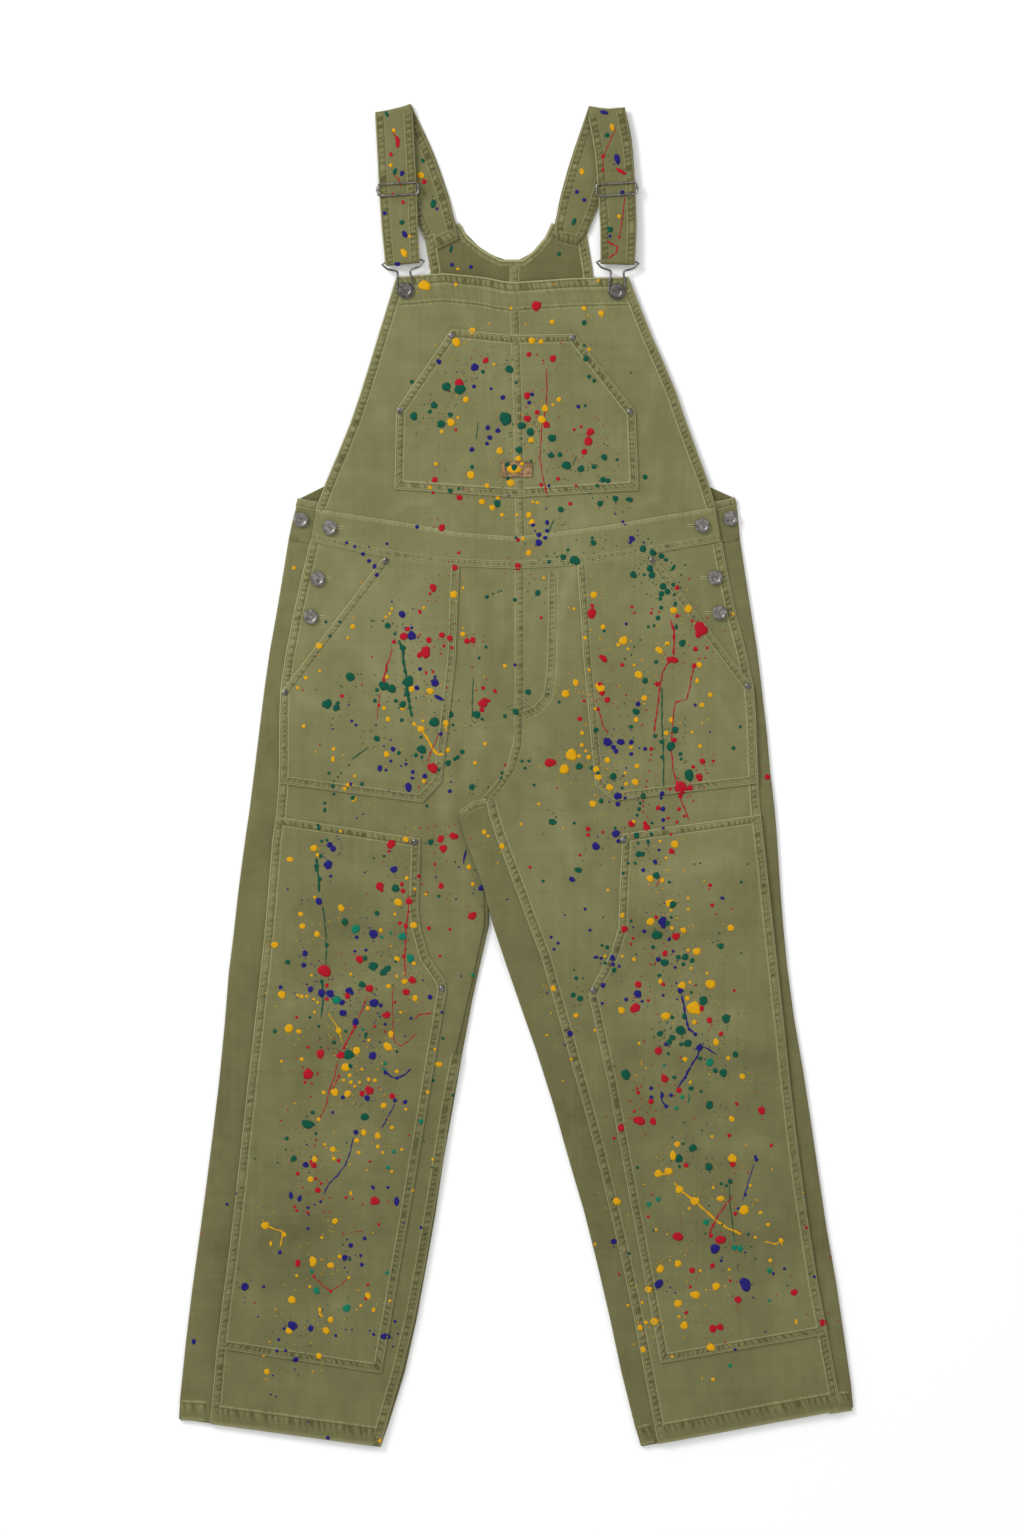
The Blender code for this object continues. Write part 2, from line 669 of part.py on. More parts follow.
def strap_run(table):
    """Rows of (middle, width vector) along one run of a strap."""
    flat = smooth_points([Vector((p.x, p.y)) for p in table], RUN_SAMPLES // 2)
    rows = []
    for i, place in enumerate(flat):
        index = i / (RUN_SAMPLES // 2)
        low = min(int(index), len(table) - 2)
        share = smooth_step(index - low, 0.0, 1.0)
        z = table[low].z + (table[low + 1].z - table[low].z) * share
        half = table[low].half_width + (table[low + 1].half_width - table[low].half_width) * share
        ahead = flat[min(i + 1, len(flat) - 1)] - flat[max(i - 1, 0)]
        across = Vector((ahead.y, -ahead.x, 0.0)).normalized()
        if across.x < 0:
            across.negate()
        rows.append((Vector((place.x, place.y, z)), across * half))
    return rows


def strap_turn(before, after):
    """Rows round the half circle that joins two runs, one above the other."""
    end, start = before[-1], after[0]
    heading = end[0] - before[-2][0]
    heading.z = 0.0
    mean_width = (end[1] + start[1]) / 2
    outward = Vector((-mean_width.y, mean_width.x, 0.0)).normalized()
    if outward.dot(heading) < 0:
        outward.negate()
    centre = (end[0] + start[0]) / 2
    arm = end[0] - centre
    rows = []
    for i in range(1, TURN_STEPS):
        angle = math.pi * i / TURN_STEPS
        place = centre + arm * math.cos(angle) + outward * arm.length * math.sin(angle)
        share = i / TURN_STEPS
        rows.append((place, end[1].lerp(start[1], share)))
    return rows


def build_strap(side, material, collection):
    runs = [strap_run(STRAPS[side][name]) for name in ("back", "front", "return")]
    ribbon = list(runs[0])
    for before, after in zip(runs, runs[1:]):
        ribbon += strap_turn(before, after) + after
    rows = [[middle - width, middle, middle + width] for middle, width in ribbon]
    obj = grid_object("strap_" + side, rows, collection)
    add_wall(obj, STRAP_WALL, 0.0)
    return finish(obj, material)


def wire(name, points, radius, closed, collection):
    curve = bpy.data.curves.new(name, "CURVE")
    curve.dimensions = "3D"
    curve.bevel_depth = radius * MM
    curve.bevel_resolution = 2
    curve.use_fill_caps = True
    spline = curve.splines.new("POLY")
    spline.points.add(len(points) - 1)
    for point, place in zip(spline.points, points):
        point.co = (*(place * MM), 1.0)
    spline.use_cyclic_u = closed
    obj = bpy.data.objects.new(name, curve)
    collection.objects.link(obj)
    return obj


def rounded_rectangle(half_x, half_y, radius, steps=2):
    points = []
    corners = ((1, 1, 0), (-1, 1, 90), (-1, -1, 180), (1, -1, 270))
    for sign_x, sign_y, start in corners:
        for i in range(steps + 1):
            angle = math.radians(start + 90 * i / steps)
            x = sign_x * (half_x - radius) + radius * math.cos(angle)
            y = sign_y * (half_y - radius) + radius * math.sin(angle)
            points.append(Vector((x, y)))
    return points


def join_solids(name, sources, collection, helpers, material):
    """One closed body from several curve or mesh objects that meet."""
    bpy.context.view_layer.update()
    base = mesh_copy(sources[0], name, collection)
    for i, source in enumerate(sources[1:]):
        other = mesh_copy(source, f"{name}_joined_{i}", helpers)
        other.hide_render = True
        other.display_type = "WIRE"
        union = base.modifiers.new("Union", "BOOLEAN")
        union.operation = "UNION"
        union.object = other
    for source in sources:
        bpy.data.objects.remove(source, do_unlink=True)
    return finish(base, material)


def build_slider(side, material, collection, helpers):
    """A wire frame over the strap, with a bar behind it and a knob on each end of the bar."""
    table = STRAPS[side]["front"]
    before, here, after = table[SLIDER_POINT - 1 : SLIDER_POINT + 2]
    centre = Vector((here.x, here.y, 0.0))
    along = Vector((after.x - before.x, after.y - before.y, 0.0)).normalized()
    across = Vector((-along.y, along.x, 0.0))

    def place(x, y, z):
        return centre + across * x + along * y + Vector((0, 0, z))

    loop = rounded_rectangle(SLIDER_HALF_WIDTH, SLIDER_HALF_HEIGHT, SLIDER_CORNER_RADIUS)
    frame_points = [place(p.x, p.y, SLIDER_FRAME_Z) for p in loop]
    frame = wire("frame_wire", frame_points, SLIDER_WIRE, True, helpers)
    half = SLIDER_HALF_WIDTH
    corners = ((half, SLIDER_FRAME_Z), (half, SLIDER_BAR_Z), (-half, SLIDER_BAR_Z), (-half, SLIDER_FRAME_Z))
    bar = wire("bar_wire", [place(x, 0.0, z) for x, z in corners], SLIDER_BAR_WIRE, False, helpers)
    knobs = []
    for end in (-half, half):
        bm = bmesh.new()
        bmesh.ops.create_uvsphere(bm, u_segments=12, v_segments=7, radius=SLIDER_KNOB * MM)
        knob_place = place(end, 0.0, SLIDER_FRAME_Z - SLIDER_KNOB_DROP)
        bmesh.ops.translate(bm, verts=bm.verts, vec=knob_place * MM)
        knobs.append(bmesh_object("knob", bm, helpers))
    return join_solids("slider_" + side, [frame, bar, *knobs], collection, helpers, material)


def build_hook(side, button, material, collection):
    """A closed loop of wire: a wide bar in the strap's end and a long ring round the button's shank."""
    bar = STRAPS[side]["front"][-1]
    start = Vector((bar.x, bar.y, 0.0))
    along = (Vector((button.x, button.y, 0.0)) - start).normalized()
    across = Vector((-along.y, along.x, 0.0))
    stretch = (Vector((button.x, button.y, 0.0)) - start).length / HOOK_SHANK_ALONG
    half = [start + along * p.along * stretch + across * p.half_width for p in HOOK_OUTLINE]
    other = [start + along * p.along * stretch - across * p.half_width for p in HOOK_OUTLINE]
    ring = smooth_points(half + other[::-1], HOOK_SAMPLES, closed=True)
    bar_count = HOOK_SAMPLES - 1
    ring = ring[: len(ring) - bar_count]
    points = [p + Vector((0, 0, HOOK_Z)) for p in ring]
    obj = wire("hook_" + side, points, HOOK_WIRE, True, collection)
    return finish(obj, material)


def turned(name, profile, steps, place, material, collection):
    """A round piece from a profile of (radius, height) points, from its top down to its underside."""
    bm = bmesh.new()
    verts = [bm.verts.new((radius * MM, 0.0, z * MM)) for radius, z in profile]
    for pair in zip(verts, verts[1:]):
        bm.edges.new(pair)
    obj = bmesh_object(name, bm, collection)
    screw = obj.modifiers.new("Turn", "SCREW")
    screw.steps = steps
    screw.render_steps = steps
    screw.use_merge_vertices = True
    screw.merge_threshold = 1e-5
    obj.location = place * MM
    obj.data.materials.append(material)
    return obj


def button_profile(shank_height):
    """A tack button: a dished face in a raised ring, over its shank."""
    top = shank_height + BUTTON_CAP
    rim = BUTTON_RADIUS
    return (
        (0.0, top - BUTTON_DISH_DEPTH),
        (rim * 0.55, top - BUTTON_DISH_DEPTH),
        (rim * 0.68, top),
        (rim * 0.88, top - BUTTON_EDGE_DROP),
        (rim, shank_height + BUTTON_CAP * 0.5),
        (rim * 0.94, shank_height),
        (BUTTON_SHANK_RADIUS, shank_height),
        (BUTTON_SHANK_RADIUS, 0.0),
        (0.0, 0.0),
    )


def rivet_profile():
    """A low dome, as shares of the rivet's radius and height."""
    return (
        (0.0, RIVET_HEIGHT),
        (RIVET_RADIUS * 0.5, RIVET_HEIGHT * 0.92),
        (RIVET_RADIUS * 0.9, RIVET_HEIGHT * 0.5),
        (RIVET_RADIUS, 0.0),
        (0.0, 0.0),
    )


def build_studs(studs, profile, steps, material, collection):
    for stud in studs:
        z = stud.base + GAP + drape(stud.x, stud.y) * (stud.base != WRAP_TOP)
        turned(stud.name, profile, steps, Vector((stud.x, stud.y, z)), material, collection)


def build_legs(cloth, collection, helpers):
    """Front and back panels of both legs, with the pockets and knee patches on the fronts."""
    legs = (
        ("left", LEFT_LEG, 0.0, -1, no_lift, HAND_POCKET_LEFT, KNEE_PATCH_LEFT),
        ("right", RIGHT_LEG, RIGHT_HEM_EXTRA_DROP, 1, crotch_lift, HAND_POCKET_RIGHT, KNEE_PATCH_RIGHT),
    )
    for side, leg, extra_drop, sign, lift, pocket, knee in legs:
        front = front_panel_rows(leg, extra_drop, sign, lift)
        panel("front_leg_" + side, front, cloth, collection)
        back = back_panel_rows(leg, extra_drop, sign, lift)
        panel("back_leg_" + side, back, cloth, collection)
        sewn_on("hand_pocket_" + side, front, pocket, cloth, collection, helpers)
        sewn_on("knee_patch_" + side, front, knee, cloth, collection, helpers)


def build_back_waistband(cloth, collection):
    rows = []
    for band in BACK_BAND:
        left = Vector((band.left_outer, band.y))
        right = Vector((band.right_outer, band.y))
        centre = Vector((0.0, band.y - BACK_WAIST_DIP))
        runs = []
        for edge, seam_x in ((left, band.left_seam), (right, band.right_seam)):
            inward = (centre - edge).normalized()
            seam = edge + inward * abs((seam_x - edge.x) / inward.x)
            runs.append(fold_run(edge, seam, inward, no_lift))
        floor = spread(runs[0][-1].xy, centre, FLOOR_COLUMNS, no_lift)
        floor += [centre.to_3d()] + spread(centre, runs[1][-1].xy, FLOOR_COLUMNS, no_lift)
        rows.append(runs[0] + floor + runs[1][::-1])
    panel("waistband_back", rows, cloth, collection)


def build_upper_body(cloth, collection, helpers):
    """Bib with its pocket, both waistbands and the back above the waist."""

    def front_z(x, y):
        return FRONT_TOP + drape(x, y)

    def band_z(x, y):
        return WAISTBAND_TOP + drape(x, y)

    def back_z(_x, _y):
        return WALL

    columns = 2 * PANEL_COLUMNS
    raised_seam = [SeamPoint(p.x, p.y + GAP) for p in BIB_SEAM]
    bib = patch_rows(BIB_TOP, raised_seam, BIB_SIDES, BIB_ROWS, columns, front_z)
    panel("bib", bib, cloth, collection)
    sewn_on("bib_pocket", bib, BIB_POCKET, cloth, collection, helpers)
    ends = (
        SidePoint(BIB_SEAM[0].y, BIB_SEAM[0].x, BIB_SEAM[-1].x),
        SidePoint(WAIST_SEAM[0].y, WAIST_SEAM[0].x, WAIST_SEAM[-1].x),
    )
    band = patch_rows(BIB_SEAM, WAIST_SEAM, ends, 3, columns, band_z)
    panel("waistband_front", band, cloth, collection, wall=WAISTBAND_WALL)
    build_back_waistband(cloth, collection)
    top_band = BACK_BAND[0]
    waist = (
        SeamPoint(BACK_SIDES[-1].left, top_band.y + GAP),
        SeamPoint(0.0, top_band.y + GAP - BACK_WAIST_DIP),
        SeamPoint(BACK_SIDES[-1].right, top_band.y + GAP),
    )
    back = patch_rows(BACK_TOP, waist, BACK_SIDES, BACK_ROWS, BACK_COLUMNS, back_z)
    panel("upper_back", back, cloth, collection)


def build_leather_patch(leather, collection):
    bm = bmesh.new()
    bmesh.ops.create_cube(bm, size=1.0)
    scale = (PATCH_SIZE[0] * MM, PATCH_SIZE[1] * MM, WALL * MM)
    bmesh.ops.scale(bm, verts=bm.verts, vec=scale)
    obj = bmesh_object("leather_patch", bm, collection)
    obj.location = Vector((*PATCH_CENTRE, OVERLAY_TOP + GAP + WALL / 2 + PATCH_EXTRA_GAP)) * MM
    finish(obj, leather)


def main():
    clear_scene()
    collection = make_collection("paint_spattered_overalls")
    helpers = make_collection("cutters")
    cloth = make_material("olive_canvas", (0.228, 0.215, 0.106), 0.9)
    leather = make_material("brown_leather", (0.16, 0.07, 0.025), 0.7)
    metal = make_material("antique_nickel", (0.32, 0.31, 0.29), 0.35, 1.0)
    build_legs(cloth, collection, helpers)
    build_upper_body(cloth, collection, helpers)
    build_leather_patch(leather, collection)
    for side, button in zip(("left", "right"), BIB_BUTTONS):
        build_strap(side, cloth, collection)
        build_slider(side, metal, collection, helpers)
        build_hook(side, button, metal, collection)
    build_studs(BIB_BUTTONS, button_profile(BIB_BUTTON_SHANK), BUTTON_STEPS, metal, collection)
    build_studs(SIDE_BUTTONS, button_profile(SIDE_BUTTON_SHANK), BUTTON_STEPS, metal, collection)
    build_studs(RIVETS, rivet_profile(), RIVET_STEPS, metal, collection)


if __name__ == "__main__":
    main()
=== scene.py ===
"""Looks of a pair of canvas bib overalls, laid flat, washed soft and spattered with paint."""

import logging
import math
import random
from dataclasses import dataclass, field
from enum import Enum

import bmesh
import bpy
import numpy as np
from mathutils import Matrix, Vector, noise
from mathutils.bvhtree import BVHTree


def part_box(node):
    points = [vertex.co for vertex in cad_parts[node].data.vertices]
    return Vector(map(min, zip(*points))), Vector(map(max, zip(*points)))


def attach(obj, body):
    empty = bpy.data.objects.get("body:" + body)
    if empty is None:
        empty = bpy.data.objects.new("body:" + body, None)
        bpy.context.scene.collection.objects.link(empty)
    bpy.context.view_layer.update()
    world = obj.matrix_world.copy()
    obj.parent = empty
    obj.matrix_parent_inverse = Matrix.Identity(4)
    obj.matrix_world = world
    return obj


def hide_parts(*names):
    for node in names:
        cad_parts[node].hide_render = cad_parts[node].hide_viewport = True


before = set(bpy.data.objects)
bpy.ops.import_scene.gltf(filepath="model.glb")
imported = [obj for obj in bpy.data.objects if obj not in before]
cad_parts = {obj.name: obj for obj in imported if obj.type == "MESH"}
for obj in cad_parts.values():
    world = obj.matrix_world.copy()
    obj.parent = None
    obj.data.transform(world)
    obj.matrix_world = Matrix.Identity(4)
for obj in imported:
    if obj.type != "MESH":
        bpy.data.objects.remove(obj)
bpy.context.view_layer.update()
LOG = logging.getLogger("overalls")

MM = 0.001
PHOTO_MM = 1.1
PHOTO_MIDDLE_X, PHOTO_MIDDLE_Y = 516.0, 775.0
PHOTO_WIDTH, PHOTO_HEIGHT = 1024, 1536
RAY_TOP = 0.08
DOWN = Vector((0, 0, -1))

WALL = 1.3 * MM
THIN_WALL = 1.0 * MM
FLOOR_GAP = 0.1 * MM
BAND_WALL = 2.2 * MM
SEED = 7
OFFSET_SLANT = 0.7
TINY = 1e-9

Points = np.ndarray
Colour = tuple[float, float, float, float]
Triple = tuple[float, float, float]
Corners = tuple[tuple[float, float], ...]
Socket = bpy.types.NodeSocket
Material = bpy.types.Material
Piece = bpy.types.Object
Mesh = bmesh.types.BMesh


def between(along: Points, knots: Points, rows: Points) -> Points:
    """Rows of X and Y read off between knots."""
    return np.stack([np.interp(along, knots, rows[:, axis]) for axis in (0, 1)], axis=1)


def photo_place(px: float, py: float) -> tuple[float, float]:
    """Place in the garment's frame of a point of the photograph."""
    return (px - PHOTO_MIDDLE_X) * PHOTO_MM * MM, (PHOTO_MIDDLE_Y - py) * PHOTO_MM * MM


class Side(Enum):
    """The two halves of the garment, as the viewer sees them."""

    LEFT = "left"
    RIGHT = "right"


class Edge(Enum):
    """The four sides of a panel's outline, each running down or to the viewer's right."""

    TOP = "top"
    RIGHT = "right"
    BOTTOM = "bottom"
    LEFT = "left"


# Shader helpers


class Shader:
    """A node tree being filled, for a material or a group."""

    def __init__(self, tree: bpy.types.NodeTree) -> None:
        """Keeps the tree."""
        self.tree = tree

    def node(self, kind: str, **values: object) -> bpy.types.Node:
        """Adds a node.

        Args:
            kind: Blender's name of the node type.
            **values: Attributes of the node.

        Returns:
            The new node.
        """
        made = self.tree.nodes.new(kind)
        for name, value in values.items():
            setattr(made, name, value)
        return made

    def link(self, source: Socket, target: Socket) -> None:
        """Joins an output to an input."""
        self.tree.links.new(source, target)

    def feed(self, socket: Socket, value: object) -> None:
        """Gives an input either a link or a plain value.

        Args:
            socket: The input.
            value: An output socket, or a number or colour.
        """
        if isinstance(value, Socket):
            self.link(value, socket)
        else:
            socket.default_value = value

    def fill(self, made: bpy.types.Node, values: dict[str, object]) -> None:
        """Gives several inputs of a node their links or values."""
        for name, value in values.items():
            self.feed(made.inputs[name], value)

    def math(self, operation: str, first: object, second: object = 0.0, clamp: bool = False) -> Socket:
        """Adds a Math node.

        Args:
            operation: Its operation.
            first: First value or socket.
            second: Second value or socket.
            clamp: Whether the result is kept between 0 and 1.

        Returns:
            The result's socket.
        """
        made = self.node("ShaderNodeMath", operation=operation, use_clamp=clamp)
        self.feed(made.inputs[0], first)
        self.feed(made.inputs[1], second)
        return made.outputs[0]

    def mix(self, share: object, first: object, second: object) -> Socket:
        """Mixes two colours.

        Args:
            share: How much of the second is seen.
            first: First colour or socket.
            second: Second colour or socket.

        Returns:
            The mixed colour's socket.
        """
        made = self.node("ShaderNodeMix", data_type="RGBA")
        self.fill(made, {"Factor": share, "A": first, "B": second})
        return made.outputs["Result"]

    def span(self, value: object, low: float, high: float, to_low: float = 0, to_high: float = 1) -> Socket:
        """Maps a value from one range to another.

        Args:
            value: The value or socket.
            low: Where the range starts.
            high: Where the range ends.
            to_low: Result at the start.
            to_high: Result at the end.

        Returns:
            The mapped value's socket.
        """
        made = self.node("ShaderNodeMapRange")
        ends = {"From Min": low, "From Max": high, "To Min": to_low, "To Max": to_high}
        self.fill(made, {"Value": value, **ends})
        return made.outputs["Result"]

    def place(self) -> Socket:
        """The piece's own coordinates."""
        return self.node("ShaderNodeTexCoord").outputs["Object"]

    def wear_soak_and_shade(self) -> Socket:
        """The rubbing, soaking and painted light and shade that each point of a piece carries, as one value.
        """
        return self.node("ShaderNodeAttribute", attribute_name="wear_soak_and_shade").outputs["Fac"]

    def clouds(self, scale: float, detail: float, stretch: Triple = (1, 1, 1), offset: float = 0.0) -> Socket:
        """Adds a noise texture on the piece's own coordinates.

        Args:
            scale: Noise scale for a metre.
            detail: Octaves.
            stretch: Scale of the coordinates.
            offset: Shift of the pattern in metres.

        Returns:
            The noise value's socket.
        """
        mapping = self.node("ShaderNodeMapping")
        shift = (offset, offset * OFFSET_SLANT, 0)
        self.fill(mapping, {"Vector": self.place(), "Scale": stretch, "Location": shift})
        made = self.node("ShaderNodeTexNoise")
        self.fill(made, {"Vector": mapping.outputs["Vector"], "Scale": scale, "Detail": detail})
        return made.outputs["Fac"]

    def bump(self, height: Socket, strength: float, distance: float) -> Socket:
        """Adds a Bump node.

        Args:
            height: What raises the surface.
            strength: How strongly.
            distance: Metres that a height of one stands for.

        Returns:
            The normal's socket.
        """
        made = self.node("ShaderNodeBump")
        self.fill(made, {"Height": height, "Strength": strength, "Distance": distance})
        return made.outputs["Normal"]


def new_group(name: str, inputs: dict[str, float], outputs: tuple[str, ...]) -> tuple:
    """Starts a shader node group.

    Args:
        name: Name of the group.
        inputs: Float inputs with their defaults.
        outputs: Names of the float outputs.

    Returns:
        The group, its helper, its input sockets inside and its output sockets inside.
    """
    group = bpy.data.node_groups.new(name, "ShaderNodeTree")
    for label, value in inputs.items():
        socket = group.interface.new_socket(label, in_out="INPUT", socket_type="NodeSocketFloat")
        socket.default_value = value
    for label in outputs:
        group.interface.new_socket(label, in_out="OUTPUT", socket_type="NodeSocketFloat")
    shader = Shader(group)
    return group, shader, shader.node("NodeGroupInput").outputs, shader.node("NodeGroupOutput").inputs


def weave_group() -> bpy.types.NodeTree:
    """Plain weave: slubby yarns along and across, as a height and a light-and-dark mask.

    Returns:
        The node group.
    """
    group, shader, given, result = new_group("canvas_weave", {"Slub": 0.5}, ("Height", "Slubs"))
    down = shader.clouds(900.0, 2.0, (1.0, 0.07, 1.0))
    across = shader.clouds(900.0, 2.0, (0.07, 1.0, 1.0), offset=0.3)
    pile = shader.clouds(2400.0, 1.0)
    yarns = shader.math("ADD", down, across)
    height = shader.math("ADD", shader.math("MULTIPLY", yarns, 0.5), shader.math("MULTIPLY", pile, 0.25))
    shader.link(height, result["Height"])
    long_down = shader.clouds(220.0, 3.0, (1.0, 0.03, 1.0), offset=0.1)
    long_across = shader.clouds(220.0, 3.0, (0.03, 1.0, 1.0), offset=0.5)
    slubs = shader.math("MULTIPLY", shader.math("ADD", long_down, long_across), 0.5)
    centred = shader.math("SUBTRACT", slubs, 0.5)
    shader.link(shader.math("MULTIPLY", centred, given["Slub"]), result["Slubs"])
    return group


def wash_group() -> bpy.types.NodeTree:
    """Uneven fading from washing and use: broad patches with soft mottling in them.

    Returns:
        The node group.
    """
    group, shader, given, result = new_group("wash_fade", {"Amount": 1.0}, ("Fade",))
    broad = shader.clouds(7.0, 3.0, (1.0, 0.6, 1.0))
    fine = shader.clouds(60.0, 4.0, (1.0, 0.8, 1.0), offset=0.2)
    both = shader.math("ADD", shader.math("MULTIPLY", broad, 0.65), shader.math("MULTIPLY", fine, 0.35))
    fade = shader.span(both, 0.38, 0.62, -1.0, 1.0)
    shader.link(shader.math("MULTIPLY", fade, given["Amount"]), result["Fade"])
    return group


class Finishes:
    """The shared node groups, built once."""

    def __init__(self) -> None:
        """Builds the groups."""
        self.weave = weave_group()
        self.wash = wash_group()


@dataclass(frozen=True)
class Finish:
    """What every finish has.

    Attributes:
        name: Material name.
    """

    name: str

    def start(self) -> tuple[Material, Shader, bpy.types.Node]:
        """Starts the material.

        Returns:
            The material, its helper and its Principled BSDF.
        """
        material = bpy.data.materials.new(self.name)
        material.use_nodes = True
        return material, Shader(material.node_tree), material.node_tree.nodes["Principled BSDF"]


@dataclass(frozen=True)
class CanvasFinish(Finish):
    """Washed cotton canvas with worn ridges, painted light on wave crests, and painted shade in grooves,
    creases and hollows, down the legs and over cloth that turns away or lies under.

    Attributes:
        name: Material name.
        colour: Colour of plain cloth.
        faded_and_lit: Colour of rubbed ridges, and of painted light on the crests of slack waves.
        deep_and_shade: Colour of unfaded places, and of painted shade in grooves, creases and hollows, down
            the legs and over cloth that turns away.
        shade: How much darker the whole piece is, as for cloth that turns away or lies under.
        low_shade: How much darker it gets from the hips to the shins.
        fade: Strength of the uneven wash.
        slubs: Strength of the slubs.
        bump: Depth of the weave in metres.
    """

    name: str = "olive_canvas"
    colour: Colour = (0.160, 0.156, 0.066, 1.0)
    faded_and_lit: Colour = (0.270, 0.262, 0.130, 1.0)
    deep_and_shade: Colour = (0.078, 0.072, 0.024, 1.0)
    shade: float = 0.0
    low_shade: float = 0.38
    fade: float = 0.20
    slubs: float = 0.55
    bump: float = 0.00016

    HIP_Y, SHIN_Y = 0.20, -0.52

    def build(self, groups: Finishes) -> Material:
        """Makes the material.

        Args:
            groups: The shared node groups.

        Returns:
            The material.
        """
        material, shader, surface = self.start()
        weave = shader.node("ShaderNodeGroup", node_tree=groups.weave)
        weave.inputs["Slub"].default_value = self.slubs
        wash = shader.node("ShaderNodeGroup", node_tree=groups.wash)
        wash.inputs["Amount"].default_value = self.fade
        level = shader.math("ADD", shader.wear_soak_and_shade(), wash.outputs["Fade"])
        level = shader.math("ADD", level, weave.outputs["Slubs"])
        place = shader.node("ShaderNodeSeparateXYZ")
        shader.link(shader.place(), place.inputs["Vector"])
        # Painted shade: the whole piece darker by its shade, and darker still from the hips down to the
        # shins.
        deepest = self.low_shade + self.shade
        down = shader.span(place.outputs["Y"], self.SHIN_Y, self.HIP_Y, deepest, self.shade)
        level = shader.math("SUBTRACT", level, down)
        colour = shader.mix(shader.math("MULTIPLY", level, 1.0, clamp=True), self.colour, self.faded_and_lit)
        looks = {
            "Base Color": shader.mix(shader.math("MULTIPLY", level, -1.0, clamp=True), colour, self.deep_and_shade),
            "Roughness": shader.span(weave.outputs["Height"], 0.2, 1.0, 0.98, 0.82),
            "Sheen Weight": 0.12,
            "Sheen Roughness": 0.6,
            "Sheen Tint": (0.8, 0.8, 0.6, 1.0),
            "Specular IOR Level": 0.15,
            "Normal": shader.bump(weave.outputs["Height"], 0.6, self.bump),
        }
        shader.fill(surface, looks)
        return material


@dataclass(frozen=True)
class ThreadFinish(Finish):
    """Matte sewing thread.

    Attributes:
        name: Material name.
        colour: Colour of the thread.
    """

    name: str = "olive_thread"
    colour: Colour = (0.200, 0.190, 0.095, 1.0)

    DARKER = 0.6

    def build(self) -> Material:
        """Makes the material.

        Returns:
            The material.
        """
        material, shader, surface = self.start()
        tone = shader.clouds(400.0, 2.0)
        darker = tuple(channel * self.DARKER for channel in self.colour[:3]) + (1.0,)
        rough = shader.span(tone, 0.0, 1.0, 0.65, 0.9)
        shader.fill(surface, {"Base Color": shader.mix(tone, darker, self.colour), "Roughness": rough})
        return material


@dataclass(frozen=True)
class MetalFinish(Finish):
    """Antique nickel: bright where rubbed, dark in its hollows.

    Attributes:
        name: Material name.
        bright: Colour of rubbed metal.
        dull: Colour of tarnish.
    """

    name: str = "antique_nickel"
    bright: Colour = (0.37, 0.355, 0.335, 1.0)
    dull: Colour = (0.075, 0.068, 0.062, 1.0)

    def build(self) -> Material:
        """Makes the material.

        Returns:
            The material.
        """
        material, shader, surface = self.start()
        tarnish = shader.clouds(260.0, 4.0)
        share = shader.math("ADD", shader.span(tarnish, 0.35, 0.7, 0.15, 0.75), shader.wear_soak_and_shade(), clamp=True)
        looks = {
            "Metallic": 1.0,
            "Base Color": shader.mix(share, self.dull, self.bright),
            "Roughness": shader.span(tarnish, 0.3, 0.7, 0.28, 0.5),
            "Normal": shader.bump(shader.clouds(1500.0, 2.0), 0.3, 0.1 * MM),
        }
        shader.fill(surface, looks)
        return material


@dataclass(frozen=True)
class PaintFinish(Finish):
    """Dried household paint: satin, with brushed-out thickness.

    Attributes:
        name: Material name.
        colour: Colour of a thick drop.
        thin: Colour where the cloth shows through.
    """

    colour: Colour
    thin: Colour

    def build(self) -> Material:
        """Makes the material.

        Returns:
            The material.
        """
        material, shader, surface = self.start()
        blotch = shader.clouds(320.0, 3.0)
        soaked = shader.math("ADD", shader.span(blotch, 0.45, 0.75, 0.0, 0.3), shader.wear_soak_and_shade(), clamp=True)
        looks = {
            "Base Color": shader.mix(soaked, self.colour, self.thin),
            "Roughness": shader.span(blotch, 0.3, 0.7, 0.5, 0.72),
            "Specular IOR Level": 0.1,
            "Normal": shader.bump(shader.clouds(900.0, 3.0), 0.4, 0.2 * MM),
        }
        shader.fill(surface, looks)
        return material


@dataclass(frozen=True)
class LeatherFinish(Finish):
    """Brown patch leather, dried and rubbed.

    Attributes:
        name: Material name.
        colour: Colour of the leather.
        rubbed: Colour where it is worn.
    """

    name: str = "brown_leather"
    colour: Colour = (0.10, 0.048, 0.017, 1.0)
    rubbed: Colour = (0.33, 0.19, 0.072, 1.0)

    def build(self) -> Material:
        """Makes the material.

        Returns:
            The material.
        """
        material, shader, surface = self.start()
        grain = shader.node("ShaderNodeTexVoronoi")
        shader.fill(grain, {"Vector": shader.place(), "Scale": 1400.0})
        blotch = shader.span(shader.clouds(300.0, 5.0), 0.35, 0.7)
        looks = {
            "Base Color": shader.mix(blotch, self.colour, self.rubbed),
            "Roughness": 0.6,
            "Normal": shader.bump(grain.outputs["Distance"], 0.5, 0.2 * MM),
        }
        shader.fill(surface, looks)
        return material


# Mesh helpers


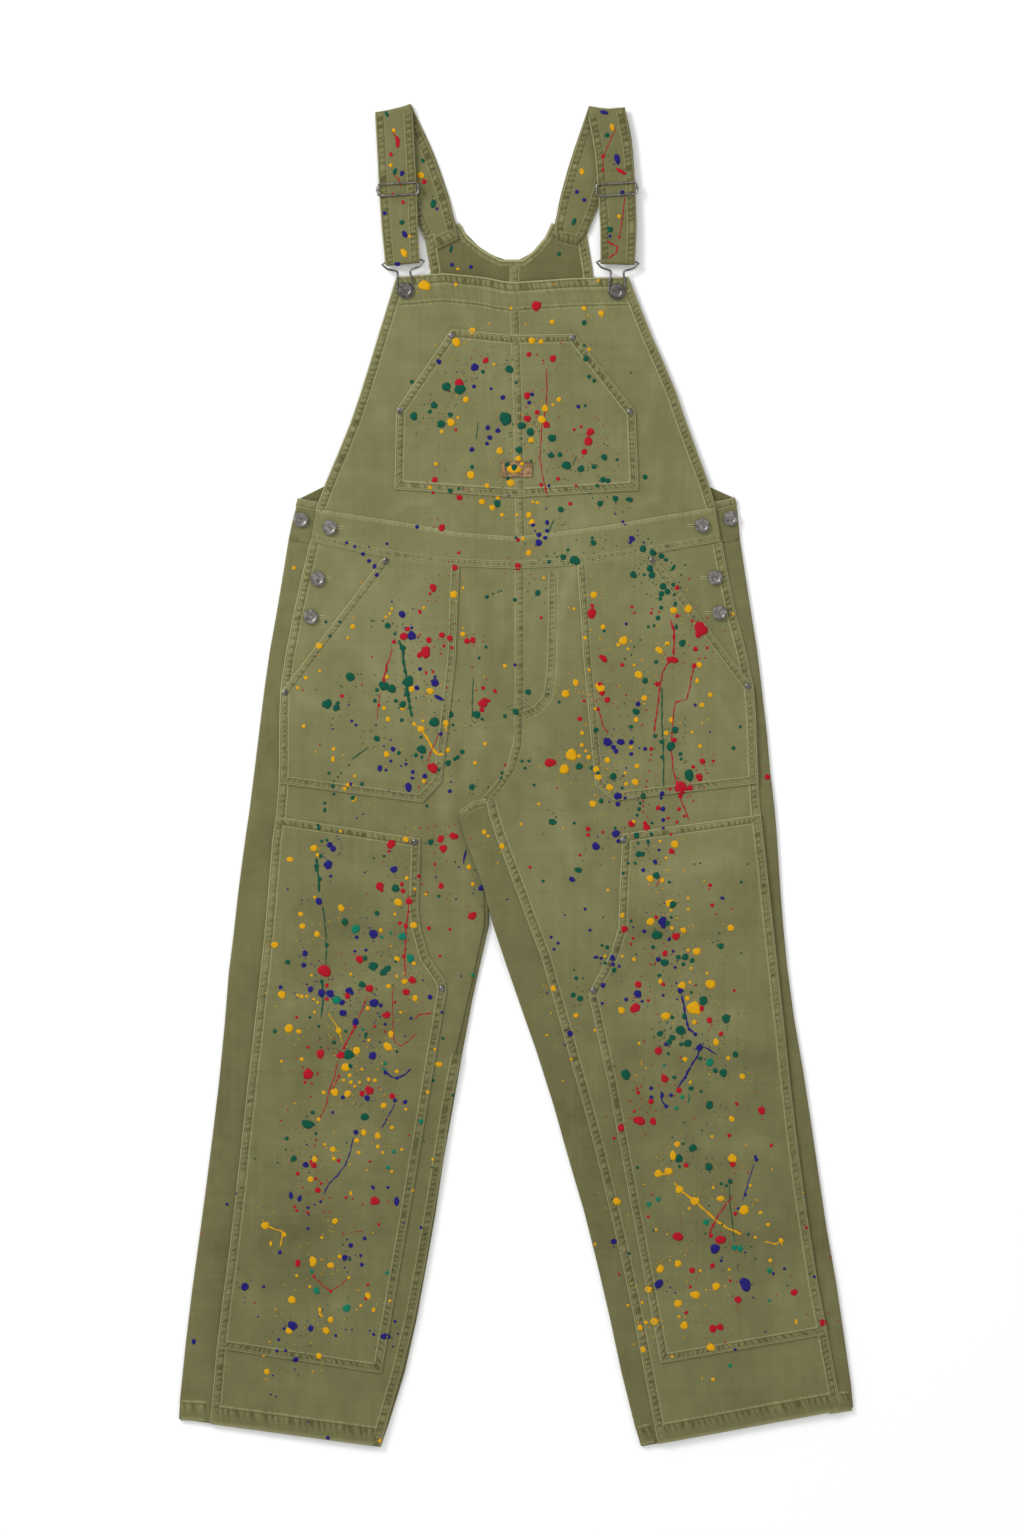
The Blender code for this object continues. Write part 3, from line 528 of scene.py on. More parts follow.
def grid_mesh(places: Points, wear_soak_and_shade: Points) -> tuple[Mesh, list]:
    """A grid made by Blender's own operator, its points moved to rows of places.

    Args:
        places: Array of rows, columns and X, Y, Z in metres.
        wear_soak_and_shade: Array of rows and columns with the rubbing, soaking and painted light and shade
            of each point.

    Returns:
        The bmesh, and its vertices in the order of the places.
    """
    rows, columns, _ = places.shape
    bm = bmesh.new()
    layer = bm.verts.layers.float.new("wear_soak_and_shade")
    bmesh.ops.create_grid(bm, x_segments=columns - 1, y_segments=rows - 1, size=1.0)
    bm.verts.ensure_lookup_table()
    verts = list(bm.verts)
    flat = np.array([(v.co.x, v.co.y) for v in verts])
    order = np.lexsort((np.round(flat[:, 0], 5), -np.round(flat[:, 1], 5)))
    verts = [verts[i] for i in order]
    for vert, place, value in zip(verts, places.reshape(-1, 3), wear_soak_and_shade.reshape(-1)):
        vert.co = place
        vert[layer] = value
    return bm, verts


def new_piece(name: str, mesh: bpy.types.Mesh, material: Material) -> Piece:
    """Makes a smooth object of a mesh, at the origin.

    Args:
        name: Name of the piece.
        mesh: Its mesh.
        material: Its material.

    Returns:
        The object.
    """
    mesh.materials.append(material)
    mesh.shade_smooth()
    made = bpy.data.objects.new(name, mesh)
    bpy.context.scene.collection.objects.link(made)
    return made


def mesh_object(name: str, bm: Mesh, material: Material) -> Piece:
    """Turns a bmesh into an object at the origin.

    Args:
        name: Name of the piece.
        bm: The bmesh, which is freed.
        material: Its material.

    Returns:
        The object.
    """
    mesh = bpy.data.meshes.new(name)
    bm.to_mesh(mesh)
    bm.free()
    return new_piece(name, mesh, material)


def shaped_sheet(name: str, places: Points, wear_soak_and_shade: Points, material: Material) -> Piece:
    """A sheet through rows of points, facing up.

    Args:
        name: Name of the piece.
        places: Array of rows, columns and X, Y, Z in metres.
        wear_soak_and_shade: Array of rows and columns with the rubbing, soaking and painted light and shade
            of each point.
        material: Its material.

    Returns:
        The object.
    """
    bm, _ = grid_mesh(places, wear_soak_and_shade)
    bm.normal_update()
    if sum(face.normal.z * face.calc_area() for face in bm.faces) < 0:
        bmesh.ops.reverse_faces(bm, faces=bm.faces)
    return mesh_object(name, bm, material)


def ribbon_mesh(places: Points, wear_soak_and_shade: Points) -> Mesh:
    """Mesh of a closed bar: a grid rolled up, its ends filled.

    Args:
        places: Array of rows, columns and X, Y, Z in metres.
        wear_soak_and_shade: Array of rows and columns with the rubbing, soaking and painted light and shade
            of each point.

    Returns:
        The bmesh.
    """
    rolled = np.concatenate([places, places[:, :1]], axis=1)
    bm, verts = grid_mesh(rolled, np.concatenate([wear_soak_and_shade, wear_soak_and_shade[:, :1]], axis=1))
    columns = rolled.shape[1]
    firsts, lasts = verts[::columns], verts[columns - 1 :: columns]
    bmesh.ops.weld_verts(bm, targetmap=dict(zip(lasts, firsts)))
    rims = [edge for edge in bm.edges if edge.is_boundary]
    bmesh.ops.holes_fill(bm, edges=rims, sides=0)
    bmesh.ops.recalc_face_normals(bm, faces=bm.faces)
    return bm


def add_wall(piece: Piece, thickness: float) -> None:
    """Gives a sheet its thickness, below the surface that shows.

    Args:
        piece: The sheet.
        thickness: Wall in metres.
    """
    modifier = piece.modifiers.new("Wall", "SOLIDIFY")
    modifier.thickness = thickness
    modifier.offset = -1.0
    modifier.use_even_offset = False


def apply_modifiers(piece: Piece) -> None:
    """Makes the evaluated shape the piece's own mesh."""
    graph = bpy.context.evaluated_depsgraph_get()
    mesh = bpy.data.meshes.new_from_object(piece.evaluated_get(graph))
    piece.modifiers.clear()
    piece.data = mesh


# Lines and surfaces


@dataclass
class Line:
    """A path on the garment seen from above.

    Attributes:
        points: Its corners, one row each, X and Y in metres.
    """

    points: Points

    SHARPEST = 0.6

    @property
    def lengths(self) -> Points:
        """Distance along the line at each corner."""
        steps = np.linalg.norm(np.diff(self.points, axis=0), axis=1)
        return np.concatenate([[0.0], np.cumsum(steps)])

    @property
    def total(self) -> float:
        """Whole length."""
        return float(self.lengths[-1])

    def sample(self, along: Points) -> Points:
        """Points at given distances."""
        return between(along, self.lengths, self.points)

    @property
    def directions(self) -> Points:
        """Unit vector along each stretch between corners."""
        steps = np.diff(self.points, axis=0)
        return steps / np.maximum(np.linalg.norm(steps, axis=1, keepdims=True), TINY)

    def mitres(self) -> Points:
        """Vectors to the line's left at each corner, long enough to keep an even distance."""
        steps = self.directions
        normals = np.stack([-steps[:, 1], steps[:, 0]], axis=1)
        before = np.concatenate([normals[:1], normals])
        after = np.concatenate([normals, normals[-1:]])
        share = 1.0 + np.sum(before * after, axis=1, keepdims=True)
        return (before + after) / np.maximum(share, self.SHARPEST)

    def rows(self, along: Points, offsets: Points) -> Points:
        """Places beside the line."""
        out = between(along, self.lengths, self.mitres())
        return self.sample(along)[:, None, :] + out[:, None, :] * offsets[None, :, None]

    def beside(self, offset: float) -> "Line":
        """The line moved to its left by an offset in metres."""
        return Line(self.points + self.mitres() * offset)

    def reversed(self) -> "Line":
        """The same line, run the other way."""
        return Line(self.points[::-1].copy())


def photo_line(*corners: tuple[float, float]) -> Line:
    """A line through points of the photograph."""
    return Line(np.array([photo_place(*corner) for corner in corners]))


def node_mesh(node: str) -> Mesh:
    """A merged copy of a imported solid's mesh."""
    bm = bmesh.new()
    bm.from_mesh(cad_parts[node].data)
    bmesh.ops.remove_doubles(bm, verts=bm.verts, dist=2e-6)
    return bm


class Outline:
    """The outline of a flat solid seen from above, split into four sides."""

    FACES_UP = 0.3

    def __init__(self, node: str) -> None:
        """Reads the outline.

        Args:
            node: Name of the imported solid.
        """
        bm = node_mesh(node)
        bm.normal_update()
        up = {face for face in bm.faces if face.normal.z > self.FACES_UP}
        self.tree = BVHTree.FromBMesh(bm)
        rim = [edge for edge in bm.edges if sum(face in up for face in edge.link_faces) == 1]
        beside: dict = {}
        for edge in rim:
            for vert in edge.verts:
                beside.setdefault(vert, []).append(edge.other_vert(vert))
        start = max(beside, key=lambda vert: vert.co.y)
        loop = [start]
        previous, here = start, beside[start][0]
        while here is not start and len(loop) < len(beside) + 1:
            loop.append(here)
            onward = [vert for vert in beside[here] if vert is not previous]
            previous, here = here, onward[0]
        self.loop = np.array([(vert.co.x, vert.co.y) for vert in loop])
        if self.signed_area() > 0:
            self.loop = self.loop[::-1].copy()
        bm.free()

    def signed_area(self) -> float:
        """Area inside the outline, positive where it runs anticlockwise."""
        x, y = self.loop[:, 0], self.loop[:, 1]
        return float(np.sum(x * np.roll(y, -1) - np.roll(x, -1) * y) / 2)

    def corner(self, across: float, up: float) -> int:
        """Index of the loop's farthest point in a direction."""
        return int(np.argmax(self.loop[:, 0] * across + self.loop[:, 1] * up))

    def corners(self) -> tuple[int, int, int, int]:
        """Top left, top right, bottom right and bottom left corners of the loop."""
        return self.corner(-0.5, 1), self.corner(0.5, 1), self.corner(0.5, -1), self.corner(-0.5, -1)

    def stretch(self, start: int, end: int) -> Points:
        """The loop's points from one index to another, the way the loop runs."""
        count = len(self.loop)
        steps = (end - start) % count
        return self.loop[[(start + i) % count for i in range(steps + 1)]]

    def sides(self) -> dict[Edge, Line]:
        """The four sides, the upright ones running down and the level ones to the right."""
        top_left, top_right, low_right, low_left = self.corners()
        return {
            Edge.TOP: Line(self.stretch(top_left, top_right)),
            Edge.RIGHT: Line(self.stretch(top_right, low_right)),
            Edge.BOTTOM: Line(self.stretch(low_right, low_left)[::-1]),
            Edge.LEFT: Line(self.stretch(low_left, top_left)[::-1]),
        }


def even_steps(length: float, step: float, rim: tuple[float, ...] = ()) -> Points:
    """Shares of a length: even steps, with closer ones at both rims.

    Args:
        length: The length in metres.
        step: Widest step in metres.
        rim: Distances from each end that get a point of their own.

    Returns:
        Shares from 0 to 1.
    """
    count = max(2, round(length / step))
    even = np.linspace(0.0, 1.0, count + 1)
    close = [distance / length for distance in rim]
    reach = max(close, default=0.0)
    kept = [s for s in even if reach * RIM_REACH < s < 1 - reach * RIM_REACH]
    return np.array(sorted({0.0, 1.0, *kept, *close, *(1 - c for c in close)}))


STRAIGHT = 0.94
RIM_REACH = 1.3


def even_line(line: Line, shares: Points) -> Points:
    """Points of a line at shares of its length, moved onto its sharp corners.

    Args:
        line: The line.
        shares: Shares of its length.

    Returns:
        One row for each share.
    """
    places = line.sample(shares * line.total)
    steps = line.directions
    for i in range(1, len(line.points) - 1):
        if float(np.dot(steps[i - 1], steps[i])) < STRAIGHT:
            nearest = int(np.argmin(np.linalg.norm(places - line.points[i], axis=1)))
            if 0 < nearest < len(places) - 1:
                places[nearest] = line.points[i]
    return places


def coons(sides: dict[Edge, Line], step: float, rim: tuple[float, ...]) -> Points:
    """Even points inside four sides.

    Args:
        sides: The panel's sides.
        step: Widest step in metres.
        rim: Distances from the edges that get a row of their own.

    Returns:
        Array of rows, columns and X, Y.
    """
    down = even_steps(max(sides[Edge.LEFT].total, sides[Edge.RIGHT].total), step, rim)
    across = even_steps(max(sides[Edge.TOP].total, sides[Edge.BOTTOM].total), step, rim)
    top, bottom = even_line(sides[Edge.TOP], across), even_line(sides[Edge.BOTTOM], across)
    left, right = even_line(sides[Edge.LEFT], down), even_line(sides[Edge.RIGHT], down)
    u, v = across[None, :, None], down[:, None, None]
    level = top[None] * (1 - v) + bottom[None] * v
    upright = left[:, None] * (1 - u) + right[:, None] * u
    corner = (top[0] * (1 - u) + top[-1] * u) * (1 - v) + (bottom[0] * (1 - u) + bottom[-1] * u) * v
    return level + upright - corner


class Surface:
    """Height of cloth that is already made, seen from above."""

    def __init__(self, pieces: list[Piece]) -> None:
        """Reads the pieces.

        Args:
            pieces: Objects to stand on.
        """
        bm = bmesh.new()
        for piece in pieces:
            bm.from_mesh(piece.data)
        self.tree = BVHTree.FromBMesh(bm)
        bm.free()

    def heights(self, places: Points, fallback: float = 0.0, ceiling: float = RAY_TOP) -> Points:
        """Heights under many places.

        Args:
            places: Array whose last axis is X, Y.
            fallback: Height where there is no cloth.
            ceiling: Height to look down from, in metres.

        Returns:
            Array of heights, without the last axis.
        """
        flat = places.reshape(-1, 2)
        found = np.full(len(flat), fallback)
        for i, (x, y) in enumerate(flat):
            hit = self.tree.ray_cast(Vector((x, y, ceiling)), DOWN)[0]
            if hit is not None:
                found[i] = hit.z
        return found.reshape(places.shape[:-1])


INWARD_TRIES = (0.0, 0.0005, 0.004)


def nearest_heights(tree: BVHTree, places: Points) -> Points:
    """Heights of a solid's top at places on it, or at its nearest point on the rim.

    Args:
        tree: The solid.
        places: Array whose last axis is X, Y.

    Returns:
        Array of heights.
    """
    flat = places.reshape(-1, 2)
    found = np.zeros(len(flat))
    middle = flat.mean(axis=0)
    for i, (x, y) in enumerate(flat):
        hit = None
        for share in INWARD_TRIES:
            near_x, near_y = x + (middle[0] - x) * share, y + (middle[1] - y) * share
            hit = tree.ray_cast(Vector((near_x, near_y, RAY_TOP)), DOWN)[0]
            if hit is not None:
                break
        found[i] = hit.z if hit is not None else tree.find_nearest(Vector((x, y, RAY_TOP)))[0].z
    return found.reshape(places.shape[:-1])


# Creases


@dataclass(frozen=True)
class Crease:
    """A soft ridge or trough across the front, which also tints the cloth: a ridge lighter as rubbed, a
    trough darker with painted shade.

    Attributes:
        corners: Points of the photograph along it.
        half_width: Half width in millimetres.
        height: Height in millimetres, negative for a trough.
    """

    corners: Corners
    half_width: float
    height: float


CREASES = (
    Crease(((509, 585), (510, 622), (508, 656)), 4.0, -0.8),
    Crease(((503, 590), (503, 650)), 5.0, 0.6),
    Crease(((573, 570), (558, 618), (552, 683)), 7.0, 1.2),
    Crease(((562, 575), (548, 625), (545, 680)), 5.0, -0.7),
    Crease(((516, 763), (517, 820)), 5.0, -0.8),
    Crease(((458, 750), (458, 795), (452, 822)), 6.0, -1.0),
    Crease(((447, 760), (446, 815)), 8.0, 1.0),
    # A trough with painted shadow beside the right leg's fold, where it lies over the left leg.
    Crease(((460, 822), (474, 866), (484, 905)), 6.0, -1.0),
    Crease(((530, 735), (560, 800), (575, 860)), 12.0, 0.9),
    Crease(((548, 760), (590, 830)), 7.0, -0.6),
    Crease(((480, 740), (455, 800), (448, 850)), 9.0, 0.8),
    Crease(((330, 868), (372, 880), (408, 900)), 14.0, 0.9),
    Crease(((300, 905), (350, 930), (400, 935)), 12.0, -0.7),
    Crease(((290, 1010), (340, 1000), (400, 975)), 15.0, 1.1),
    Crease(((300, 1052), (355, 1040), (415, 1020)), 12.0, -0.8),
    Crease(((285, 1150), (340, 1160), (395, 1150)), 14.0, 0.8),
    Crease(((262, 1240), (320, 1225), (380, 1232)), 13.0, -0.7),
    Crease(((250, 1300), (300, 1312), (360, 1305)), 15.0, 0.7),
    Crease(((648, 880), (690, 868), (735, 862)), 14.0, 0.9),
    Crease(((640, 930), (690, 940), (745, 925)), 12.0, -0.7),
    Crease(((630, 1000), (690, 1015), (755, 1030)), 15.0, 1.1),
    Crease(((625, 1045), (690, 1060), (770, 1062)), 12.0, -0.8),
    Crease(((650, 1150), (705, 1140), (770, 1148)), 14.0, 0.8),
    Crease(((665, 1235), (720, 1245), (790, 1235)), 13.0, -0.7),
    Crease(((675, 1300), (730, 1290), (800, 1300)), 15.0, 0.7),
    Crease(((396, 512), (410, 503), (432, 500)), 4.5, 0.8),
    Crease(((392, 505), (402, 515)), 4.0, -0.7),
    Crease(((640, 505), (660, 498)), 5.0, 0.7),
    Crease(((430, 298), (470, 318)), 8.0, 0.5),
    Crease(((540, 300), (600, 315)), 9.0, 0.5),
    Crease(((365, 380), (385, 420)), 8.0, 0.6),
    Crease(((655, 380), (645, 430)), 8.0, 0.6),
    Crease(((340, 470), (385, 480)), 7.0, 0.6),
    Crease(((650, 470), (700, 480)), 7.0, 0.6),
    Crease(((300, 700), (340, 712)), 8.0, 0.7),
    Crease(((330, 620), (370, 660), (400, 720)), 10.0, 0.6),
    Crease(((600, 760), (640, 770), (690, 765)), 9.0, 0.8),
    Crease(((700, 690), (660, 720), (640, 760)), 8.0, 0.6),
    Crease(((345, 770), (400, 778)), 8.0, 0.6),
    Crease(((470, 590), (478, 680), (474, 740)), 9.0, 0.6),
)


@dataclass(frozen=True)
class Roll:
    """Soft waves of a cloth that lies slack.

    Attributes:
        across: Waves for a metre across.
        down: Waves for a metre down.
        place: Which layer of the noise is read.
        height: Height in metres.
    """

    across: float
    down: float
    place: float
    height: float

    def at(self, x: float, y: float) -> float:
        """Height at a place."""
        return noise.noise(Vector((x * self.across, y * self.down, self.place))) * self.height


ROLLS = (Roll(14.0, 9.0, 3.1, 0.5 * MM), Roll(45.0, 32.0, 8.2, 0.5 * 0.35 * MM))


def crease_heights(places: Points) -> Points:
    """Height that creases and the soft roll of the cloth add.

    Args:
        places: Array whose last axis is X, Y.

    Returns:
        Array of heights in metres.
    """
    flat = places.reshape(-1, 2)
    total = np.zeros(len(flat))
    for crease in CREASES:
        line = photo_line(*crease.corners).points
        nearest = np.full(len(flat), np.inf)
        for start, end in zip(line[:-1], line[1:]):
            run = end - start
            share = np.clip((flat - start) @ run / (run @ run), 0.0, 1.0)
            nearest = np.minimum(nearest, np.linalg.norm(flat - start - share[:, None] * run, axis=1))
        total += crease.height * MM * np.exp(-((nearest / (crease.half_width * MM)) ** 2))
    for roll in ROLLS:
        total += [roll.at(x, y) for x, y in flat]
    return total.reshape(places.shape[:-1])


# Cloth


@dataclass
class Panel:
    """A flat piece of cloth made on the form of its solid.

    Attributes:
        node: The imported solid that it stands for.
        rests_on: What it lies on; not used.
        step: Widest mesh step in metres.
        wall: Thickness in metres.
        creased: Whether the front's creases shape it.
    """

    node: str
    rests_on: tuple[str, ...]
    step: float = 5.0 * MM
    wall: float = WALL
    creased: bool = True
    outline: Outline = field(init=False)
    sides: dict = field(init=False)

    RIM = (0.7 * MM, 2.0 * MM)
    RIM_DROP = (0.55 * MM, 0.12 * MM)
    SOFTENED = 3
    FULLY_RUBBED, MOST_WEAR = 4.0 * MM, 0.2

    def __post_init__(self) -> None:
        """Reads the outline of the solid."""
        self.outline = Outline(self.node)
        self.sides = self.outline.sides()

    def build(self, material: Material) -> Piece:
        """Makes the cloth.

        Args:
            material: Its material.

        Returns:
            The piece.
        """
        flat = coons(self.sides, self.step, self.RIM)
        heights = soften(nearest_heights(self.outline.tree, flat), self.SOFTENED)
        wear_soak_and_shade = np.zeros(heights.shape)
        if self.creased:
            raised = crease_heights(flat)
            heights += raised
            # Creases tint the cloth: ridges lighter as rubbed, troughs darker with painted shade.
            wear_soak_and_shade += np.clip(raised / self.FULLY_RUBBED, -self.MOST_WEAR, self.MOST_WEAR)
        for ring, drop in enumerate(self.RIM_DROP):
            rows, columns = slice(ring, len(heights) - ring), slice(ring, -1 - ring)
            for index in ((ring, columns), (-1 - ring, columns), (rows, ring), (rows, -1 - ring)):
                heights[index] -= drop
        heights = np.maximum(heights, self.wall + FLOOR_GAP)
        places = np.concatenate([flat, heights[..., None]], axis=2)
        piece = shaped_sheet(self.node + "_cloth", places, wear_soak_and_shade, material)
        add_wall(piece, self.wall)
        apply_modifiers(piece)
        self.declare(piece)
        return piece

    def declare(self, piece: Piece) -> None:
        """Attaches the piece to the root and hides its solid.

        Args:
            piece: The finished cloth.
        """
        area = abs(self.outline.signed_area())
        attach(piece, "root")
        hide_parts(self.node)


def soften(heights: Points, times: int) -> Points:
    """Evens out a grid of heights inside its rim.

    Args:
        heights: Array of rows and columns.
        times: How often.

    Returns:
        The softened array.
    """
    for _ in range(times):
        inner = heights[1:-1, 1:-1]
        around = heights[:-2, 1:-1] + heights[2:, 1:-1] + heights[1:-1, :-2] + heights[1:-1, 2:]
        heights = heights.copy()
        heights[1:-1, 1:-1] = inner * 0.5 + around * 0.125
    return heights


@dataclass
class WrappedPanel:
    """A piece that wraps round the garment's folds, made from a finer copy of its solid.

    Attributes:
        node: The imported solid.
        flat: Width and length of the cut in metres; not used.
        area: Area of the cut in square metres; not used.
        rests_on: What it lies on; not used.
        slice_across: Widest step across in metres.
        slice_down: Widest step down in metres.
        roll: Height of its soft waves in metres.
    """

    node: str
    flat: tuple[float, float]
    area: float
    rests_on: tuple[str, ...] = ()
    slice_across: float = 12.0 * MM
    slice_down: float = 9.0 * MM
    roll: float = 0.35 * MM

    WAVES = Roll(30.0, 18.0, 5.0, 1.0)
    FOLD_FROM, WEAR = 2.0 * MM, 0.15

    def build(self, material: Material) -> Piece:
        """Makes the cloth.

        Args:
            material: Its material.

        Returns:
            The piece.
        """
        bm = node_mesh(self.node)
        low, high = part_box(self.node)
        for axis, step in ((1, self.slice_down), (0, self.slice_across)):
            normal = Vector((0, 0, 0))
            normal[axis] = 1.0
            count = int((high[axis] - low[axis]) / step)
            for i in range(1, count):
                place = Vector((0, 0, 0))
                place[axis] = low[axis] + (high[axis] - low[axis]) * i / count
                geometry = bm.verts[:] + bm.edges[:] + bm.faces[:]
                bmesh.ops.bisect_plane(bm, geom=geometry, plane_co=place, plane_no=normal, dist=1e-6)
        layer = bm.verts.layers.float.new("wear_soak_and_shade")
        bm.normal_update()
        for vert in bm.verts:
            swell = self.WAVES.at(vert.co.x, vert.co.y)
            if vert.co.z > self.FOLD_FROM:
                vert.co.z += swell * self.roll
            # Painted light and shade: lighter where the waves rise, darker where they sink.
            vert[layer] = swell * self.WEAR
        piece = mesh_object(self.node + "_cloth", bm, material)
        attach(piece, "root")
        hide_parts(self.node)
        return piece


# Seams


@dataclass(frozen=True)
class SeamStyle:
    """Cross-section of a sewn edge or seam, measured in millimetres from its line.

    Attributes:
        offsets: Where the section has points.
        heights: How far each point stands over the cloth.
        pucker: How much of the puckering each point takes.
        stitches: Offsets of the rows of stitches.
        depth: Height of the puckers.
        pitch: Mean distance between puckers.
        grooves: Offsets of grooves with no stitches in them, darkened with painted shade.
    """

    offsets: tuple[float, ...]
    heights: tuple[float, ...]
    pucker: tuple[float, ...]
    stitches: tuple[float, ...]
    depth: float = 0.6
    pitch: float = 5.8
    grooves: tuple[float, ...] = ()

    @property
    def ridges(self) -> Points:
        """Share of each point that stands over its neighbours as a thin rubbed edge."""
        heights = np.array(self.heights)
        beside = (heights[:-2] + heights[2:]) / 2
        peaks = np.concatenate([[0.0], np.clip((heights[1:-1] - beside) / PEAK, 0.0, 1.0), [0.0]])
        return peaks * (np.array(self.pucker) < PUCKERED)


PEAK, PUCKERED = 0.25, 0.5
FELLED = SeamStyle(
    offsets=(-0.9, -0.3, 0.4, 1.1, 1.8, 2.5, 3.5, 4.8, 6.1, 7.3, 8.2, 9.0, 10.0, 11.6),
    heights=(-1.2, 0.25, 0.75, 0.1, 0.6, 0.35, 0.7, 0.85, 0.8, 0.55, 0.1, 0.4, 0.15, -0.35),
    pucker=(0.0, 0.1, 0.15, 0.05, 0.15, 0.5, 1.0, 1.0, 1.0, 0.8, 0.15, 0.25, 0.2, 0.0),
    stitches=(1.1, 8.2),
)
NARROW = SeamStyle(
    offsets=(-0.9, -0.3, 0.4, 1.1, 1.8, 2.5, 3.4, 4.5, 5.6, 6.6, 7.4, 8.2, 9.1, 10.5),
    heights=(-1.2, 0.25, 0.7, 0.1, 0.55, 0.3, 0.65, 0.75, 0.7, 0.5, 0.1, 0.35, 0.15, -0.35),
    pucker=(0.0, 0.1, 0.15, 0.05, 0.15, 0.5, 0.9, 1.0, 0.9, 0.7, 0.15, 0.25, 0.2, 0.0),
    stitches=(1.1, 7.4),
)
SLANTED = SeamStyle(
    offsets=(-0.9, -0.3, 0.4, 1.1, 1.8, 2.6, 3.6, 4.8, 6.0, 6.8, 7.6, 9.0),
    heights=(-1.2, 0.25, 0.7, 0.1, 0.6, 0.3, 0.45, 0.5, 0.45, 0.1, 0.4, -0.35),
    pucker=(0.0, 0.1, 0.1, 0.05, 0.1, 0.4, 0.6, 0.7, 0.6, 0.15, 0.2, 0.0),
    stitches=(1.1, 6.8),
    depth=0.45,
)
WAIST = SeamStyle(
    offsets=(-0.9, -0.3, 0.4, 1.1, 1.9, 2.8, 3.8, 4.8, 5.7, 6.4, 7.1, 8.4),
    heights=(-1.2, 0.25, 0.65, 0.1, 0.6, 0.3, 0.45, 0.4, 0.45, 0.1, 0.4, -0.35),
    pucker=(0.0, 0.1, 0.1, 0.05, 0.1, 0.45, 0.6, 0.6, 0.45, 0.1, 0.2, 0.0),
    stitches=(1.1, 6.4),
    depth=0.4,
)
FAINT = SeamStyle(
    offsets=(-2.2, -1.2, -0.5, 0.1, 0.7, 1.4, 2.4, 3.4),
    heights=(-0.3, 0.12, 0.15, -0.05, 0.4, 0.12, 0.12, -0.3),
    pucker=(0.0, 0.3, 0.2, 0.1, 0.2, 0.3, 0.4, 0.0),
    stitches=(),
    depth=0.25,
)
TOPSTITCHED = SeamStyle(
    offsets=(-2.0, -1.1, -0.5, 0.0, 0.6, 1.3, 2.0, 2.8, 4.0, 5.4, 6.8, 7.6, 8.4, 9.8),
    heights=(-0.35, 0.1, 0.1, -0.15, 0.5, 0.1, 0.45, 0.3, 0.5, 0.55, 0.45, 0.1, 0.35, -0.35),
    pucker=(0.0, 0.2, 0.1, 0.0, 0.1, 0.1, 0.2, 0.5, 0.7, 0.8, 0.6, 0.15, 0.25, 0.0),
    stitches=(1.3, 7.6),
    depth=0.4,
)
HEM = SeamStyle(
    offsets=(-0.9, -0.3, 0.8, 2.5, 5.0, 8.0, 11.0, 14.0, 16.5, 18.0, 18.8, 19.6, 21.0, 23.5),
    heights=(-1.2, 0.3, 0.75, 0.85, 0.8, 0.75, 0.75, 0.75, 0.65, 0.5, 0.1, 0.4, 0.15, -0.35),
    pucker=(0.0, 0.05, 0.1, 0.1, 0.1, 0.15, 0.45, 0.75, 0.8, 0.5, 0.1, 0.3, 0.3, 0.0),
    stitches=(18.8,),
    pitch=6.4,
)
FACING = SeamStyle(
    offsets=(-0.9, -0.3, 0.7, 1.6, 2.6, 4.2, 6.0, 7.8, 9.0, 10, 14, 20, 26, 28.5, 29.4, 30.3, 32, 35),
    heights=(-1.2, 0.3, 0.75, 0.15, 0.6, 0.85, 0.85, 0.75, 0.2, 0.5, 0.5, 0.5, 0.45, 0.4, 0, 0.3, 0.1, -0.35),
    pucker=(0.0, 0.2, 0.3, 0.1, 0.8, 1.0, 1.0, 0.8, 0.2, 0.4, 0.15, 0.1, 0.2, 0.4, 0.2, 0.5, 0.3, 0.0),
    stitches=(1.6, 9.0, 29.4),
    depth=0.5,
)
STRAP_EDGE = SeamStyle(
    offsets=(-0.2, 0.3, 0.9, 1.6, 2.4, 3.8, 5.4, 6.8, 7.8, 8.6, 9.4, 10.6),
    heights=(-0.9, 0.05, 0.45, 0.1, 0.35, 0.5, 0.5, 0.4, 0.3, 0.05, 0.3, -0.3),
    pucker=(0.0, 0.1, 0.2, 0.1, 0.6, 1.0, 1.0, 1.0, 0.6, 0.15, 0.3, 0.0),
    stitches=(1.6, 8.6),
    depth=0.4,
)
STRAP_END = SeamStyle(
    offsets=(-0.8, -0.2, 0.8, 1.7, 2.6, 5.0, 7.5, 10.0, 11.2, 12.0, 13.2),
    heights=(-1.4, 0.3, 0.7, 0.2, 0.6, 0.8, 0.8, 0.6, 0.1, 0.35, -0.3),
    pucker=(0.0, 0.2, 0.5, 0.2, 0.8, 1.0, 1.0, 0.8, 0.2, 0.4, 0.0),
    stitches=(1.7, 11.2),
    depth=0.5,
)
NECKBAND = SeamStyle(
    offsets=(-0.5, 0.0, 0.9, 2.0, 3.0, 4.2, 5.6, 6.8, 7.8, 9.2),
    heights=(-0.9, 0.35, 0.8, 0.7, 0.15, 0.6, 0.75, 0.5, 0.15, -0.35),
    pucker=(0.0, 0.1, 0.3, 0.2, 0.1, 0.5, 0.6, 0.3, 0.2, 0.0),
    stitches=(3.0, 7.8),
    depth=0.5,
)
BUTTONHOLE = SeamStyle(
    offsets=(-2.2, -1.6, -0.9, -0.3, 0.3, 0.9, 1.6, 2.2),
    heights=(-0.3, 0.45, 0.6, -0.05, -0.05, 0.6, 0.45, -0.3),
    pucker=(0.0,) * 8,
    stitches=(),
    # The slit is a groove darkened with painted shade.
    grooves=(0.0,),
)
BARTACK = SeamStyle(
    offsets=(-1.3, -0.8, 0.0, 0.8, 1.3),
    heights=(-0.3, 0.45, 0.65, 0.45, -0.3),
    pucker=(0.0,) * 5,
    stitches=(),
)


